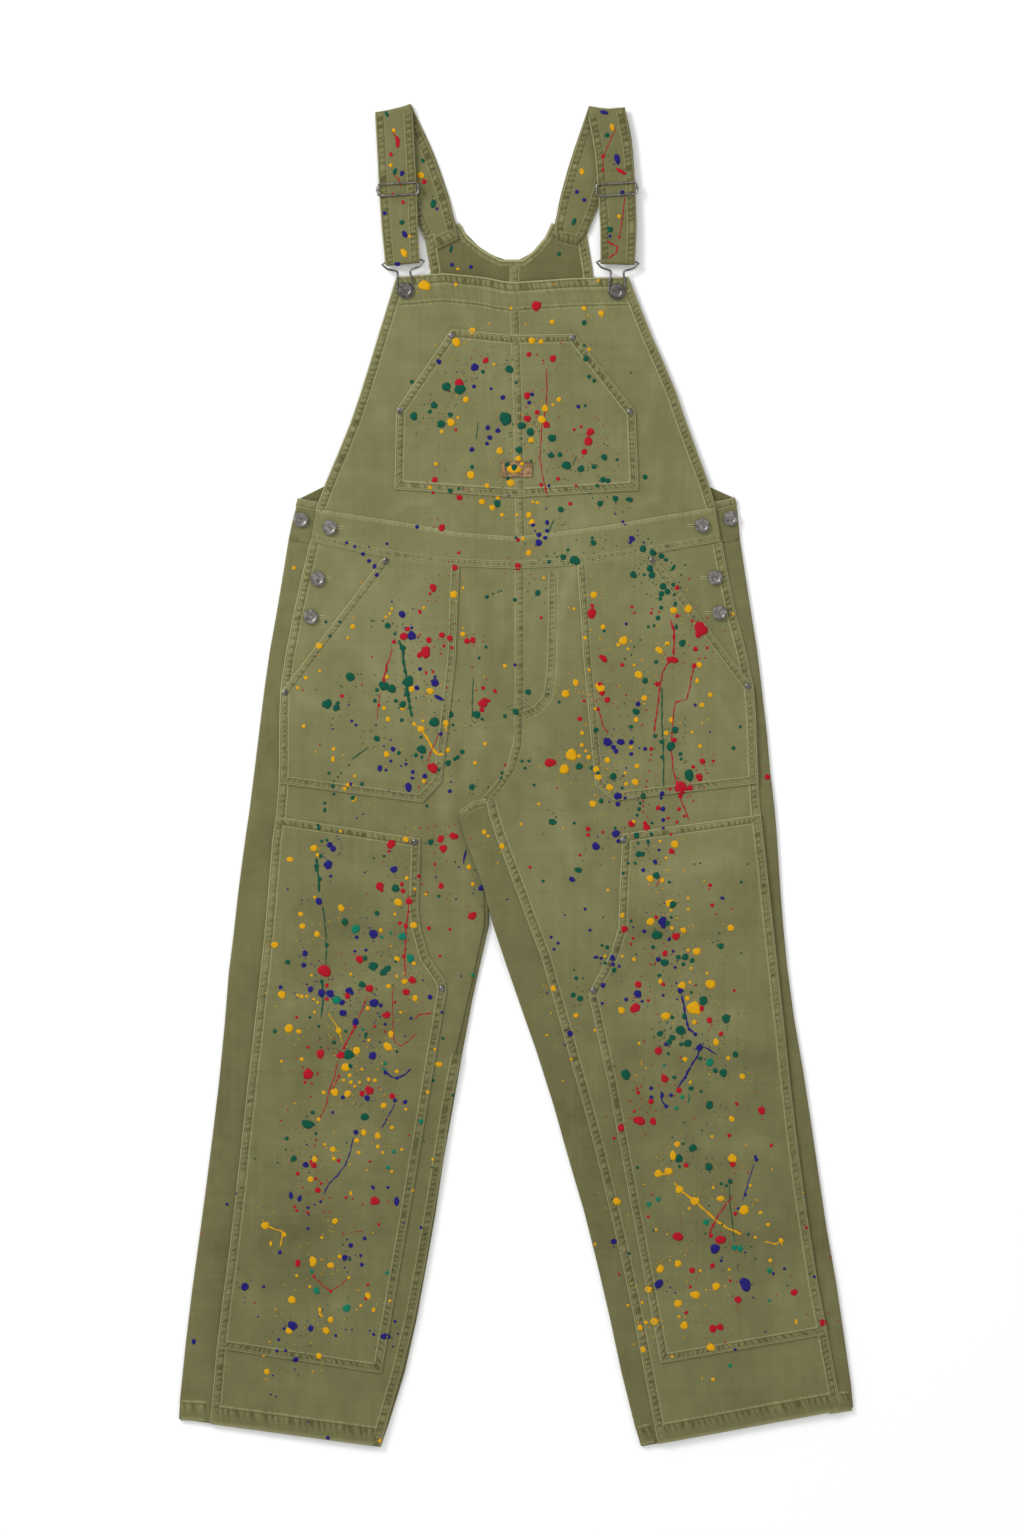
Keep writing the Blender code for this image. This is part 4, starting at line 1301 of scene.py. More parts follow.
class Stitching:
    """All rows of stitches, gathered and then made as one mesh."""

    LENGTH, PITCH, THICK = 2.4 * MM, 3.1 * MM, 0.36 * MM
    STEEPEST, LOWEST, START = 1.2 * MM, 0.5 * MM, 0.1

    def __init__(self) -> None:
        """Starts with no stitches."""
        self.stitches: list[tuple[Points, Points]] = []

    def sew(self, line: Line, surface: Surface, lift: float = 0.0) -> None:
        """Adds a row of stitches.

        Args:
            line: Where the row runs.
            surface: The cloth that it is sewn on.
            lift: Height over that cloth in metres.
        """
        count = max(1, int(line.total / self.PITCH))
        starts = (np.arange(count) + self.START) * self.PITCH
        first, last = line.sample(starts), line.sample(starts + self.LENGTH)
        low, high = surface.heights(first) + lift, surface.heights(last) + lift
        for a, b, za, zb in zip(first, last, low, high):
            if abs(za - zb) < self.STEEPEST and min(za, zb) > self.LOWEST:
                self.stitches.append((np.array([a[0], a[1], za]), np.array([b[0], b[1], zb])))

    def build(self, name: str, material: Material) -> Piece:
        """Makes the stitches.

        Args:
            name: Name of the piece.
            material: Thread material.

        Returns:
            The piece.
        """
        bm = bmesh.new()
        bmesh.ops.create_icosphere(bm, subdivisions=1, radius=1.0)
        shape, corners = mesh_arrays(bm)
        faces = np.array(corners)
        starts = np.array([a for a, _ in self.stitches])
        ends = np.array([b for _, b in self.stitches])
        along = (ends - starts) / 2
        flat = np.linalg.norm(along[:, :2], axis=1, keepdims=True)
        across = np.concatenate([-along[:, 1:2], along[:, :1], np.zeros((len(along), 1))], axis=1)
        across = across / flat * self.THICK
        middle = (starts + ends) / 2
        up = np.array([0.0, 0.0, self.THICK])
        places = (
            middle[:, None]
            + shape[None, :, :1] * along[:, None]
            + shape[None, :, 1:2] * across[:, None]
            + shape[None, :, 2:] * up
        )
        all_faces = faces[None] + (np.arange(len(middle)) * len(shape))[:, None, None]
        rows = all_faces.reshape(-1, faces.shape[1]).tolist()
        return joined_mesh(name, places.reshape(-1, 3), rows, material)


def mesh_arrays(bm: Mesh) -> tuple[Points, list[list[int]]]:
    """Points and faces of a bmesh, which is freed."""
    bm.verts.index_update()
    points = np.array([vert.co[:] for vert in bm.verts])
    faces = [[vert.index for vert in face.verts] for face in bm.faces]
    bm.free()
    return points, faces


def joined_mesh(name: str, places: Points, faces: list, material: Material, wear_soak_and_shade: object = None) -> Piece:
    """One mesh of many copies of a shape.

    Args:
        name: Name of the piece.
        places: All points.
        faces: All faces, as lists of point numbers.
        material: Their material.
        wear_soak_and_shade: Array of the rubbing, soaking and painted light and shade at each point, or None.

    Returns:
        The piece.
    """
    mesh = bpy.data.meshes.new(name)
    mesh.from_pydata(places.tolist(), [], faces)
    if wear_soak_and_shade is not None:
        mesh.attributes.new("wear_soak_and_shade", "FLOAT", "POINT").data.foreach_set("value", wear_soak_and_shade)
    return new_piece(name, mesh, material)


SWELLS, GAPS, TURNS_OVER, MARGIN = (0.35, 1.0), (0.65, 1.4), 0.88, 4


def random_profile(along: Points, pitch: float, rng: random.Random) -> Points:
    """Uneven swells along a line.

    Args:
        along: Distances in metres.
        pitch: Mean distance between swells in metres.
        rng: Source of chance.

    Returns:
        Values from -1 to 1.
    """
    end = float(along.max()) + MARGIN * pitch
    knots, values, here, sign = [], [], float(along.min()) - MARGIN * pitch, 1.0
    while here < end:
        knots.append(here)
        values.append(sign * rng.uniform(*SWELLS))
        here += pitch / 2 * rng.uniform(*GAPS)
        sign = -sign if rng.random() < TURNS_OVER else sign
    index = np.clip(np.searchsorted(knots, along) - 1, 0, len(knots) - 2)
    low, high = np.array(knots)[index], np.array(knots)[index + 1]
    share = (along - low) / (high - low)
    smooth = share * share * (3 - 2 * share)
    return np.array(values)[index] * (1 - smooth) + np.array(values)[index + 1] * smooth


# Colour of a band: rubbing on its high puckers, painted shade in its low puckers, rubbing on its thin edges,
# painted shade in its grooves, and less rubbing all over
RUBBED_HIGH, LOW_PUCKER_SHADE, RUBBED_EDGE, GROOVE_SHADE, UNWORN = 0.7, 1.5, 1.15, 0.9, 0.06


@dataclass
class Seam:
    """A puckered band of doubled cloth along a line, sewn down with stitches.

    Attributes:
        name: Name of the piece.
        line: Its line, with the doubled cloth on the line's left.
        style: Its cross-section.
        ceiling: Height that the cloth is looked for under, in metres.
        step: Distance between sections in metres.
        level: Whether each section keeps the height of its highest cloth.
    """

    name: str
    line: Line
    style: SeamStyle
    ceiling: float = RAY_TOP
    step: float = 1.5 * MM
    level: bool = False

    LOWEST, SKIN, WALL = 0.35 * MM, 0.15 * MM, 0.9 * MM
    INNER, EVENED = 1.2 * MM, 4
    MAIN_SHARE, OTHER_SHARE, LEAN, OTHER_LEAN, OTHER_PITCH = 0.65, 0.35, 0.25, 0.9, 0.8
    END_RUN, END_DROP = 1.2 * MM, 0.4 * MM
    GROOVE_WIDTH, STITCH_LIFT = 0.7, 0.08 * MM

    def build(self, surface: Surface, stitching: Stitching, material: Material) -> Piece:
        """Makes the band and sews it.

        Args:
            surface: The cloth that it lies on.
            stitching: Where its stitches go.
            material: The cloth's material.

        Returns:
            The piece.
        """
        style = self.style
        rng = random.Random(self.name)
        along = np.linspace(0.0, self.line.total, max(3, round(self.line.total / self.step)) + 1)
        offsets = np.array(style.offsets) * MM
        places = self.line.rows(along, offsets)
        inner = self.line.rows(along, np.clip(offsets, self.INNER, None))
        ground = smooth_along(fill_gaps(surface.heights(inner, -1.0, self.ceiling)), self.EVENED)
        if self.level:
            ground = np.repeat(ground.max(axis=1, keepdims=True), len(offsets), axis=1)
        leaning = along[:, None] + self.LEAN * offsets[None, :]
        swell = random_profile(leaning, style.pitch * MM, rng)
        back = leaning - self.OTHER_LEAN * offsets[None, :]
        other = random_profile(back, style.pitch * self.OTHER_PITCH * MM, rng)
        pucker = (self.MAIN_SHARE * swell + self.OTHER_SHARE * other) * np.array(style.pucker)[None, :]
        lift = np.array(style.heights)[None, :] * MM
        ends = np.clip(np.minimum(along, self.line.total - along) / self.END_RUN, 0.0, 1.0)[:, None]
        heights = ground + lift * ends - (1 - ends) * self.END_DROP + pucker * style.depth * MM * ends
        heights = np.maximum(heights, self.LOWEST)
        # Painted shade along each row of stitches and in each groove without stitches.
        groove = np.zeros(len(offsets))
        for stitch in style.stitches + style.grooves:
            groove += np.exp(-(((np.array(style.offsets) - stitch) / self.GROOVE_WIDTH) ** 2))
        # High puckers lighter as rubbed, low puckers darker with painted shade.
        rubbed = pucker * np.where(pucker > 0, RUBBED_HIGH, LOW_PUCKER_SHADE)
        wear_soak_and_shade = rubbed - UNWORN + RUBBED_EDGE * style.ridges[None, :] - GROOVE_SHADE * groove[None, :]
        top = np.concatenate([places, heights[..., None]], axis=2)
        low_z = np.minimum(ground[:, [-1, 0]] - self.WALL, heights[:, [-1, 0]] - self.SKIN)
        low_z = np.maximum(low_z, self.SKIN)
        low = np.concatenate([places[:, [-1, 0]], low_z[..., None]], axis=2)
        section = np.concatenate([top, low], axis=1)
        worn = np.concatenate([wear_soak_and_shade, np.zeros((len(along), 2))], axis=1)
        piece = mesh_object(self.name, ribbon_mesh(section, worn), material)
        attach(piece, "root")
        own = Surface([piece])
        for stitch in style.stitches:
            stitching.sew(self.line.beside(stitch * MM), own, self.STITCH_LIFT)
        return piece


TYPICAL_GROUND = 5.0 * MM


def fill_gaps(ground: Points) -> Points:
    """Gives points that found no cloth the height of their neighbours in the same section.

    Args:
        ground: Heights, with negative values where there was no cloth.

    Returns:
        Heights without gaps.
    """
    filled = ground.copy()
    typical = np.median(filled[filled > 0]) if (filled > 0).any() else TYPICAL_GROUND
    for row in filled:
        good = row > 0
        row[~good] = np.median(row[good]) if good.any() else typical
    return filled


def smooth_along(ground: Points, times: int) -> Points:
    """Evens heights out along the first axis.

    Args:
        ground: Array of rows and columns.
        times: How often.

    Returns:
        The evened array.
    """
    for _ in range(times):
        padded = np.concatenate([ground[:1], ground, ground[-1:]])
        ground = (padded[:-2] + 2 * padded[1:-1] + padded[2:]) / 4
    return ground


class Cloth:
    """All panels of the garment."""

    def __init__(self) -> None:
        """Lists the panels."""
        self.panels: dict[str, Panel] = {}
        fine = 4.0 * MM
        for side in ("left", "right"):
            leg = "front_leg_" + side
            self.lay(Panel(leg, ("back_leg_" + side,)))
            self.lay(Panel("hand_pocket_" + side, (leg,), fine))
            self.lay(Panel("knee_patch_" + side, (leg,)))
        self.lay(Panel("bib", ("upper_back",)))
        self.lay(Panel("bib_pocket", ("bib",), fine))
        self.lay(Panel("waistband_front", ("waistband_back",), fine, BAND_WALL))
        self.lay(Panel("upper_back", (), 9.0 * MM, THIN_WALL, creased=False))
        strap = {"slice_across": 5.0 * MM, "slice_down": fine, "roll": 0.1 * MM}
        self.wraps = (
            WrappedPanel("back_leg_left", (0.40, 1.02), 0.33),
            WrappedPanel("back_leg_right", (0.42, 1.02), 0.33),
            WrappedPanel("waistband_back", (0.55, 0.07), 0.03),
            WrappedPanel("strap_left", (0.042, 0.43), 0.017, **strap),
            WrappedPanel("strap_right", (0.042, 0.43), 0.017, **strap),
        )
        self.pieces: dict[str, Piece] = {}

    def lay(self, panel: Panel) -> None:
        """Adds a panel."""
        self.panels[panel.node] = panel

    def build(self, front: Material, turned: Material, inside: Material) -> None:
        """Makes all cloth.

        Args:
            front: Canvas that faces up.
            turned: Canvas darkened with painted shade, for cloth that turns round the folds.
            inside: Canvas darkened with more painted shade, for the inside of the back.
        """
        for name, panel in self.panels.items():
            self.pieces[name] = panel.build(inside if name == "upper_back" else front)
        for wrap in self.wraps:
            self.pieces[wrap.node] = wrap.build(turned)
        for name, piece in self.pieces.items():
            LOG.info("cloth %s: %d faces", name, len(piece.data.polygons))

    def surface(self) -> Surface:
        """The tops of all pieces."""
        return Surface(list(self.pieces.values()))


# Straps: column, row and half width in millimetres along the middle of the front and the back run
STRAP_RUNS = {
    Side.LEFT: (
        ((394, 113.5, 20.5), (396, 150, 20.5), (398, 190, 20.5), (400, 228, 19.8), (402.6, 264, 18.8)),
        ((396.5, 118, 20.5), (416, 164.5, 20.5), (430, 204, 20.5), (440, 233, 18), (446, 244, 14.5)),
    ),
    Side.RIGHT: (
        ((606.5, 113.5, 20.5), (613.3, 150, 20.5), (616.5, 190, 20.5), (618.3, 228, 19.8),
         (617.6, 264, 18.8)),
        ((604.5, 118.5, 20.5), (588, 171.5, 20.5), (579, 204, 20.5), (571, 231, 18), (568, 241.5, 14.5)),
    ),
}
STRAP_ENDS = {Side.LEFT: ((437.5, 248.8), (458.5, 238.2)), Side.RIGHT: ((555.6, 241.4), (578.4, 247.7))}
UNDER_STRAP = 4.7 * MM
NECK_EDGE = ((459, 223), (468, 238), (484, 251), (501, 260), (522, 260), (533, 252), (545, 238), (552, 223.5))
BUTTONHOLES = {
    Side.LEFT: ((330, 528), (318, 579), (311, 617)),
    Side.RIGHT: ((702, 526), (715, 578), (719.5, 613)),
}
HOLE_FROM, HOLE_TO = 6.0, 15.5
CENTRE_FRONT = ((516, 570), (516, 700), (514, 745), (508, 767), (495, 785), (482, 800))
# Seams that follow no panel's edge: name, whether the cloth is on the line's left, style, and its line
SEWN_LINES = (
    ("centre_front", True, TOPSTITCHED, CENTRE_FRONT),
    ("fly", False, TOPSTITCHED, ((557, 571), (556, 640), (555, 674), (551, 699), (539, 713), (522, 720))),
    ("bib_centre", True, TOPSTITCHED, ((510, 285), (512, 335), (515, 430), (516, 495), (517, 538))),
    ("crotch", False, SLANTED, ((459, 814), (463, 808.5), (473, 802), (487, 799))),
    ("hem_fold_left", True, HEM, ((180.5, 1419), (206, 1420.5))),
    ("hem_fold_right", True, HEM, ((829, 1413), (852, 1409.5))),
    ("hem_turn_right", True, HEM, ((641, 1445), (655, 1441.5))),
    ("waist_back_left", False, SLANTED, ((297.5, 499), (317, 503.5))),
    ("waist_back_right", False, SLANTED, ((714.5, 503), (735, 498))),
    ("neck", False, NECKBAND, NECK_EDGE),
    ("back_centre", True, TOPSTITCHED, ((511, 262), (511, 285))),
    ("yoke_side_left", True, FELLED, ((425, 235), (431, 271), (430, 283))),
    ("yoke_side_right", False, FELLED, ((586, 234), (592, 271), (593, 283))),
    ("bartack_fly", True, BARTACK, ((517, 694), (525, 701))),
)
# Where each inseam starts to show, in metres, and how far the left one lies outside its panel's edge
INSEAM_FROM = {Side.LEFT: -0.275, Side.RIGHT: -0.022}
INSEAM_OUT = 6.0 * MM


class Seams:
    """Every seam, hem and sewn-down edge that shows."""

    def __init__(self, cloth: Cloth) -> None:
        """Lists the seams along the panels' edges.

        Args:
            cloth: The panels.
        """
        self.seams: list[Seam] = []
        panels = cloth.panels
        for side in Side:
            name = side.value
            leg = panels["front_leg_" + name].sides
            outer, inner = (Edge.LEFT, Edge.RIGHT) if side is Side.LEFT else (Edge.RIGHT, Edge.LEFT)
            self.add("outseam_" + name, leg[outer], side is Side.LEFT, FELLED)
            if side is Side.LEFT:
                edge = self.below(leg[inner], INSEAM_FROM[side]).beside(INSEAM_OUT)
                self.seams.append(Seam("seam_inseam_" + name, edge.reversed(), FELLED, level=True))
            else:
                self.add("inseam_" + name, self.below(leg[inner], INSEAM_FROM[side]), True, FELLED)
            self.add("hem_" + name, leg[Edge.BOTTOM], True, HEM)
            pocket = panels["hand_pocket_" + name].outline
            top_left, top_right, _, _ = pocket.corners()
            self.add("hand_pocket_" + name, Line(pocket.stretch(top_right, top_left)), False, SLANTED)
            self.pocket_edges("knee_patch_" + name, panels["knee_patch_" + name].outline)
        self.pocket_edges("bib_pocket", panels["bib_pocket"].outline)
        bib = panels["bib"].sides
        self.add("bib_top", bib[Edge.TOP], False, FACING)
        self.add("bib_side_left", bib[Edge.LEFT], True, FELLED)
        self.add("bib_side_right", bib[Edge.RIGHT], False, FELLED)
        band = panels["waistband_front"].sides
        self.add("waistband_top", band[Edge.TOP], False, FAINT)
        self.add("waistband_bottom", band[Edge.BOTTOM], True, WAIST)
        for name, left, style, corners in SEWN_LINES:
            self.add(name, photo_line(*corners), left, style)
        for side in Side:
            self.strap_edges(side)
            inward = 1 if side is Side.LEFT else -1
            for number, (px, py) in enumerate(BUTTONHOLES[side], start=1):
                line = photo_line((px + inward * HOLE_FROM, py), (px + inward * HOLE_TO, py))
                self.add(f"buttonhole_{side.value}_{number}", line, True, BUTTONHOLE)

    def strap_edges(self, side: Side) -> None:
        """Adds the bands along both edges of both runs of a strap, and across its sewn end."""
        front, back = STRAP_RUNS[side]
        for name, run, ceiling in (("front", front, RAY_TOP), ("back", back, UNDER_STRAP)):
            middle = photo_line(*((px, py) for px, py, _ in run))
            widths = np.array([half for _, _, half in run]) * MM
            mitres = middle.mitres()
            for edge, sign in (("left", 1), ("right", -1)):
                line = Line(middle.points + mitres * widths[:, None] * sign)
                self.add(f"strap_{side.value}_{name}_{edge}", line, sign < 0, STRAP_EDGE, ceiling)
        self.add("strap_end_" + side.value, photo_line(*STRAP_ENDS[side]), True, STRAP_END, UNDER_STRAP)

    @staticmethod
    def below(line: Line, y: float) -> Line:
        """The part of a line that runs down from a height, in metres."""
        return Line(line.points[line.points[:, 1] < y])

    def add(self, name: str, line: Line, left: bool, style: SeamStyle, ceiling: float = RAY_TOP) -> None:
        """Adds a seam."""
        self.seams.append(Seam("seam_" + name, line if left else line.reversed(), style, ceiling))

    def pocket_edges(self, name: str, outline: Outline) -> None:
        """Adds the sewn edges of a piece that lies on a panel, all round, with mitred corners."""
        loop = outline.loop
        closed = np.concatenate([loop, loop[:1]])
        self.add(name, Line(closed).reversed(), True, NARROW)

    def build(self, surface: Surface, stitching: Stitching, looks: tuple[Material, ...]) -> list[Piece]:
        """Makes all seams.

        Args:
            surface: The tops of all cloth.
            stitching: Where the stitches go.
            looks: The canvas of the front, the canvas with painted shade of the straps and the thread of
                bartacks.

        Returns:
            The pieces.
        """
        front, turned, thread = looks
        made = []
        for seam in self.seams:
            material = turned if seam.name.startswith("seam_strap") else front
            if seam.style is BARTACK:
                material = thread
            made.append(seam.build(surface, stitching, material))
            LOG.info("seam %s: %d faces", seam.name, len(made[-1].data.polygons))
        return made


# Paint, read from the photograph


class Hue(Enum):
    """The paints on the cloth."""

    BLUE = "blue"
    GREEN = "green"
    SEA = "sea_green"
    RED = "red"
    YELLOW = "yellow"


# The drops of each paint under their radius in the photograph's pixels. Each gives its column and row, then,
# where it isn't round, how much longer than wide it is and how far its long way is turned from the
# photograph's upright, in degrees.
Spot = tuple[float, ...]
DROPS: dict[Hue, dict[float, tuple[Spot, ...]]] = {
    Hue.BLUE: {
        1: (
            (369, 547), (392, 602), (405, 628), (509, 496), (535, 531), (546, 509), (615, 514), (625, 525),
            (710, 732), (644, 543), (639, 748), (623, 776), (626, 768), (609, 802), (565, 915), (633, 927),
            (431, 681), (333, 729), (376, 725), (349, 705), (391, 740), (384, 746), (401, 766), (451, 782),
            (365, 872), (459, 867), (436, 877), (456, 899), (288, 889), (507, 899), (363, 814), (357, 818),
            (307, 984), (423, 980), (461, 976), (405, 1036), (380, 1042), (364, 1041), (378, 1013),
            (380, 1016), (309, 1214), (258, 1316), (237, 1193), (273, 1375), (271, 1394), (276, 1396),
            (309, 1421), (347, 1239), (345, 1267), (404, 1223), (370, 1330), (398, 1333), (393, 1346),
            (346, 1329), (352, 1329), (315, 1204), (307, 1144), (594, 998), (565, 1045), (547, 993),
            (677, 999), (676, 983), (745, 1252), (670, 1287), (675, 1292), (753, 1297), (765, 1331),
        ),
        1.5: (
            (491, 389), (549, 486), (437, 209), (610, 237), (347, 543), (355, 547), (387, 544), (412, 628),
            (623, 522), (630, 543), (626, 624), (695, 705), (625, 798), (661, 798), (663, 828), (659, 850),
            (585, 909), (590, 930), (551, 937), (722, 898, 1.5, 70), (435, 677), (352, 721), (356, 725),
            (386, 770), (391, 761), (406, 764), (412, 778), (351, 784), (331, 876), (515, 665), (355, 951),
            (366, 950), (411, 1018), (442, 1012), (385, 1024), (397, 1078), (308, 1207), (308, 1228),
            (264, 1286), (227, 1204), (284, 1328), (279, 1339), (277, 1350), (286, 1350), (361, 1255),
            (373, 1187, 1.6, 40), (388, 1187), (421, 1227), (374, 1334), (395, 1321), (336, 1335),
            (321, 1201), (406, 1101), (333, 1112), (619, 966), (596, 957, 1.7, 100), (601, 958),
            (669, 939, 1.5, 150), (673, 951), (675, 967), (642, 1001), (663, 995), (602, 1003), (689, 1029),
            (685, 1077), (662, 1094, 1.9, 15), (558, 943), (554, 949), (745, 1194), (738, 1208),
            (784, 1268), (773, 1273), (721, 1260), (735, 1349), (814, 1276), (755, 1156),
        ),
        2: (
            (474, 387), (532, 395), (529, 403), (578, 407), (487, 444), (385, 214), (398, 265, 1.6, 90),
            (452, 265), (471, 267), (604, 113, 2.2, 80), (622, 193), (577, 192), (584, 200), (417, 527),
            (363, 554), (369, 561), (377, 575), (547, 523, 1.3, 0), (533, 525), (547, 531), (545, 538),
            (631, 754), (645, 749), (663, 820), (618, 841), (655, 862, 1.4, 10), (643, 870), (644, 931),
            (420, 669), (439, 698, 2.6, 60), (441, 734), (413, 772), (450, 791), (357, 937), (281, 987),
            (352, 993), (381, 1005), (405, 1102), (386, 1072), (343, 1097), (291, 1195, 1.9, 5),
            (300, 1198, 1.7, 170), (280, 1252), (194, 1341, 1.5, 170), (328, 1437), (365, 1238),
            (362, 1264), (395, 1100), (613, 964), (626, 999), (695, 1034), (666, 1044), (651, 1088),
            (671, 1095), (651, 1097), (666, 1106), (756, 1159),
        ),
        2.5: (
            (439, 362), (503, 398), (488, 428), (498, 431), (490, 438), (472, 450), (402, 174),
            (405, 235, 1.5, 20), (375, 567), (539, 535), (638, 704), (613, 747), (616, 751), (631, 742),
            (618, 804), (662, 794), (663, 809), (572, 879, 1.3, 70), (663, 926), (417, 688), (393, 749),
            (380, 768, 1.3, 0), (425, 776), (304, 965), (430, 997), (351, 1245), (397, 1201, 1.9, 175),
            (356, 1132), (658, 959), (603, 985),
        ),
        3: (
            (617, 160, 1.8, 10), (632, 539), (621, 742, 1.4, 90), (330, 845), (333, 849), (481, 888),
            (305, 953), (311, 989), (342, 1002), (367, 1098), (306, 1164), (311, 1328), (296, 1359),
            (345, 1257), (385, 1336, 1.7, 85), (612, 958), (680, 990), (570, 1033), (614, 1241),
        ),
        3.5: (
            (402, 614), (539, 543), (408, 787, 1.3, 0), (319, 901), (394, 869), (349, 990), (343, 1013),
            (356, 1022), (699, 1047),
        ),
        4: (
            (475, 368), (618, 796), (616, 834), (596, 846), (435, 683), (322, 993), (330, 993), (373, 1055),
            (245, 1286), (637, 994),
        ),
        4.5: (
            (412, 636), (607, 742), (662, 921), (329, 865), (373, 934), (374, 1003), (293, 1325, 1.15, 40),
            (658, 1283),
        ),
        5: ((715, 1248),),
        5.5: ((744, 1283, 1.3, 25),),
    },
    Hue.GREEN: {
        1: (
            (631, 373), (525, 309), (547, 556), (557, 557), (681, 575), (685, 565), (634, 647), (640, 640),
            (667, 645), (625, 659), (631, 655), (648, 539), (548, 694), (556, 817), (603, 917), (747, 864),
            (700, 863), (694, 864), (719, 933), (620, 932), (493, 594), (498, 592), (501, 591), (372, 621),
            (383, 621), (416, 698), (406, 760), (488, 787), (349, 765), (341, 773), (338, 777), (334, 781),
            (374, 858), (455, 862), (475, 870), (320, 1038), (321, 1047), (307, 1116), (286, 1149),
            (255, 1158), (278, 1162), (424, 1141), (432, 1167), (393, 1269), (425, 1234), (249, 1101),
            (343, 1244), (347, 1142), (323, 1309), (717, 945), (741, 953), (583, 978), (574, 970),
            (667, 1022), (654, 1037), (636, 954), (722, 1224), (689, 1099), (684, 1122), (702, 1130),
            (751, 1246), (755, 1258), (705, 1233), (787, 1285), (709, 1205), (672, 1137), (653, 1230),
        ),
        1.5: (
            (516, 383), (617, 460), (459, 489), (584, 346), (585, 406), (531, 462), (387, 115, 2.2, 30),
            (451, 249, 2.4, 165), (592, 538), (568, 550), (644, 575), (673, 568, 2.4, 150), (674, 595),
            (675, 604, 1.8, 0), (648, 627), (654, 626), (676, 627, 1.8, 0), (604, 631), (559, 702),
            (681, 759), (740, 727), (622, 788), (640, 803), (637, 815), (574, 823), (534, 785), (522, 761),
            (529, 761), (525, 768), (652, 823), (615, 828), (638, 843), (628, 863), (635, 863), (543, 881),
            (669, 882), (623, 873), (671, 917), (631, 921), (741, 882), (648, 842, 1.7, 0), (516, 538),
            (340, 622), (326, 622), (330, 636), (395, 634), (486, 647), (479, 658), (422, 757), (421, 737),
            (439, 770), (453, 725), (427, 806), (501, 778), (502, 773), (482, 719), (514, 710), (329, 773),
            (334, 794), (325, 803), (325, 810, 1.5, 0), (318, 825), (322, 841), (327, 840), (319, 885),
            (384, 856), (439, 896), (396, 961), (319, 1026), (310, 1017), (366, 1035, 2.2, 165),
            (346, 1031), (397, 1051), (443, 1038), (433, 1080), (453, 1095), (350, 1259), (316, 1133),
            (602, 945), (659, 975, 1.4, 110), (605, 963), (668, 1053), (701, 1091), (691, 992), (679, 1166),
            (637, 1167), (726, 1185), (721, 1183), (629, 1253), (748, 1234), (683, 1143),
        ),
        2: (
            (430, 412), (483, 372), (597, 486), (508, 479), (472, 467), (589, 377), (594, 381), (412, 382),
            (395, 172, 1.7, 165), (423, 161), (574, 222, 2, 160), (559, 254), (549, 562), (666, 560),
            (660, 599), (673, 585), (661, 608), (656, 662), (631, 727), (655, 736), (661, 742), (680, 754),
            (662, 757), (733, 748), (592, 768), (639, 809), (651, 834), (515, 600), (487, 597), (338, 703),
            (377, 690), (375, 701), (396, 701), (402, 720), (416, 755), (458, 757), (455, 759), (399, 753),
            (505, 716), (333, 786), (362, 784), (319, 828), (321, 856), (317, 870), (320, 879), (275, 1031),
            (334, 1042), (327, 945), (322, 981), (313, 1112), (287, 1138), (653, 947), (607, 947),
            (683, 964), (576, 978), (672, 1017), (681, 1044), (700, 1058), (674, 1077), (684, 1016, 1.7, 0),
        ),
        2.5: (
            (450, 415), (560, 455), (594, 467), (608, 481), (645, 477), (629, 500, 1.5, 80), (450, 491),
            (584, 323), (507, 465), (402, 223), (607, 136), (658, 618), (596, 730), (597, 773), (601, 801),
            (642, 854), (578, 870, 1.7, 75), (667, 923), (462, 752), (353, 798), (317, 866), (377, 913),
            (288, 962), (365, 958), (350, 1066), (692, 960), (678, 957), (614, 970), (573, 995),
            (715, 1070), (691, 1088), (730, 1181),
        ),
        3: (
            (551, 456), (604, 458, 1.2, 30), (603, 480), (615, 499), (600, 504), (561, 510), (586, 359),
            (433, 204, 1.4, 170), (610, 230), (538, 593), (593, 543), (563, 557), (661, 556), (661, 594),
            (667, 592), (645, 681), (528, 692), (643, 796), (553, 822, 1.4, 85), (636, 835), (638, 854),
            (388, 626), (403, 648), (407, 694), (377, 739), (448, 763), (472, 787), (516, 712), (431, 842),
            (294, 1158), (721, 946), (580, 998), (660, 1033), (672, 1037), (669, 1042), (735, 1054),
        ),
        3.5: (
            (434, 406), (519, 450), (581, 469), (497, 504), (514, 468), (643, 549), (653, 553), (633, 575),
            (650, 569), (652, 575), (663, 586), (682, 643), (636, 712), (675, 730), (579, 766), (613, 776),
            (656, 875), (336, 708), (403, 705), (450, 714), (345, 921), (383, 972), (388, 968), (362, 984),
            (685, 957), (664, 962, 1.3, 90),
        ),
        4: (
            (414, 417), (441, 424), (509, 370), (521, 426), (530, 432), (552, 438), (672, 904), (477, 715),
            (396, 888), (365, 1116), (688, 1043), (723, 1073), (709, 1105), (693, 1147), (679, 1158),
            (709, 1167),
        ),
        4.5: (
            (447, 387), (567, 466), (671, 746), (350, 677), (392, 689), (422, 749), (374, 966),
            (309, 1124, 1.4, 80), (703, 1001), (726, 1018), (680, 1030, 1.2, 80),
        ),
        5: (
            (575, 561), (689, 776, 1.15, 0), (657, 935), (327, 704), (383, 686), (434, 722), (349, 1055),
            (625, 1074),
        ),
        5.5: ((460, 389), (408, 682)),
        6.5: ((505, 420),),
    },
    Hue.SEA: {
        1: ((391, 933, 2, 10),),
        1.5: ((384, 1069), (664, 1065), (769, 1300), (363, 1029), (382, 937)),
        2: (
            (385, 1063), (312, 1271), (387, 1272), (394, 1151), (388, 1167), (473, 975), (682, 1097),
            (676, 1108), (730, 1365),
        ),
        2.5: ((421, 1121), (658, 1199), (649, 1204), (769, 1270)),
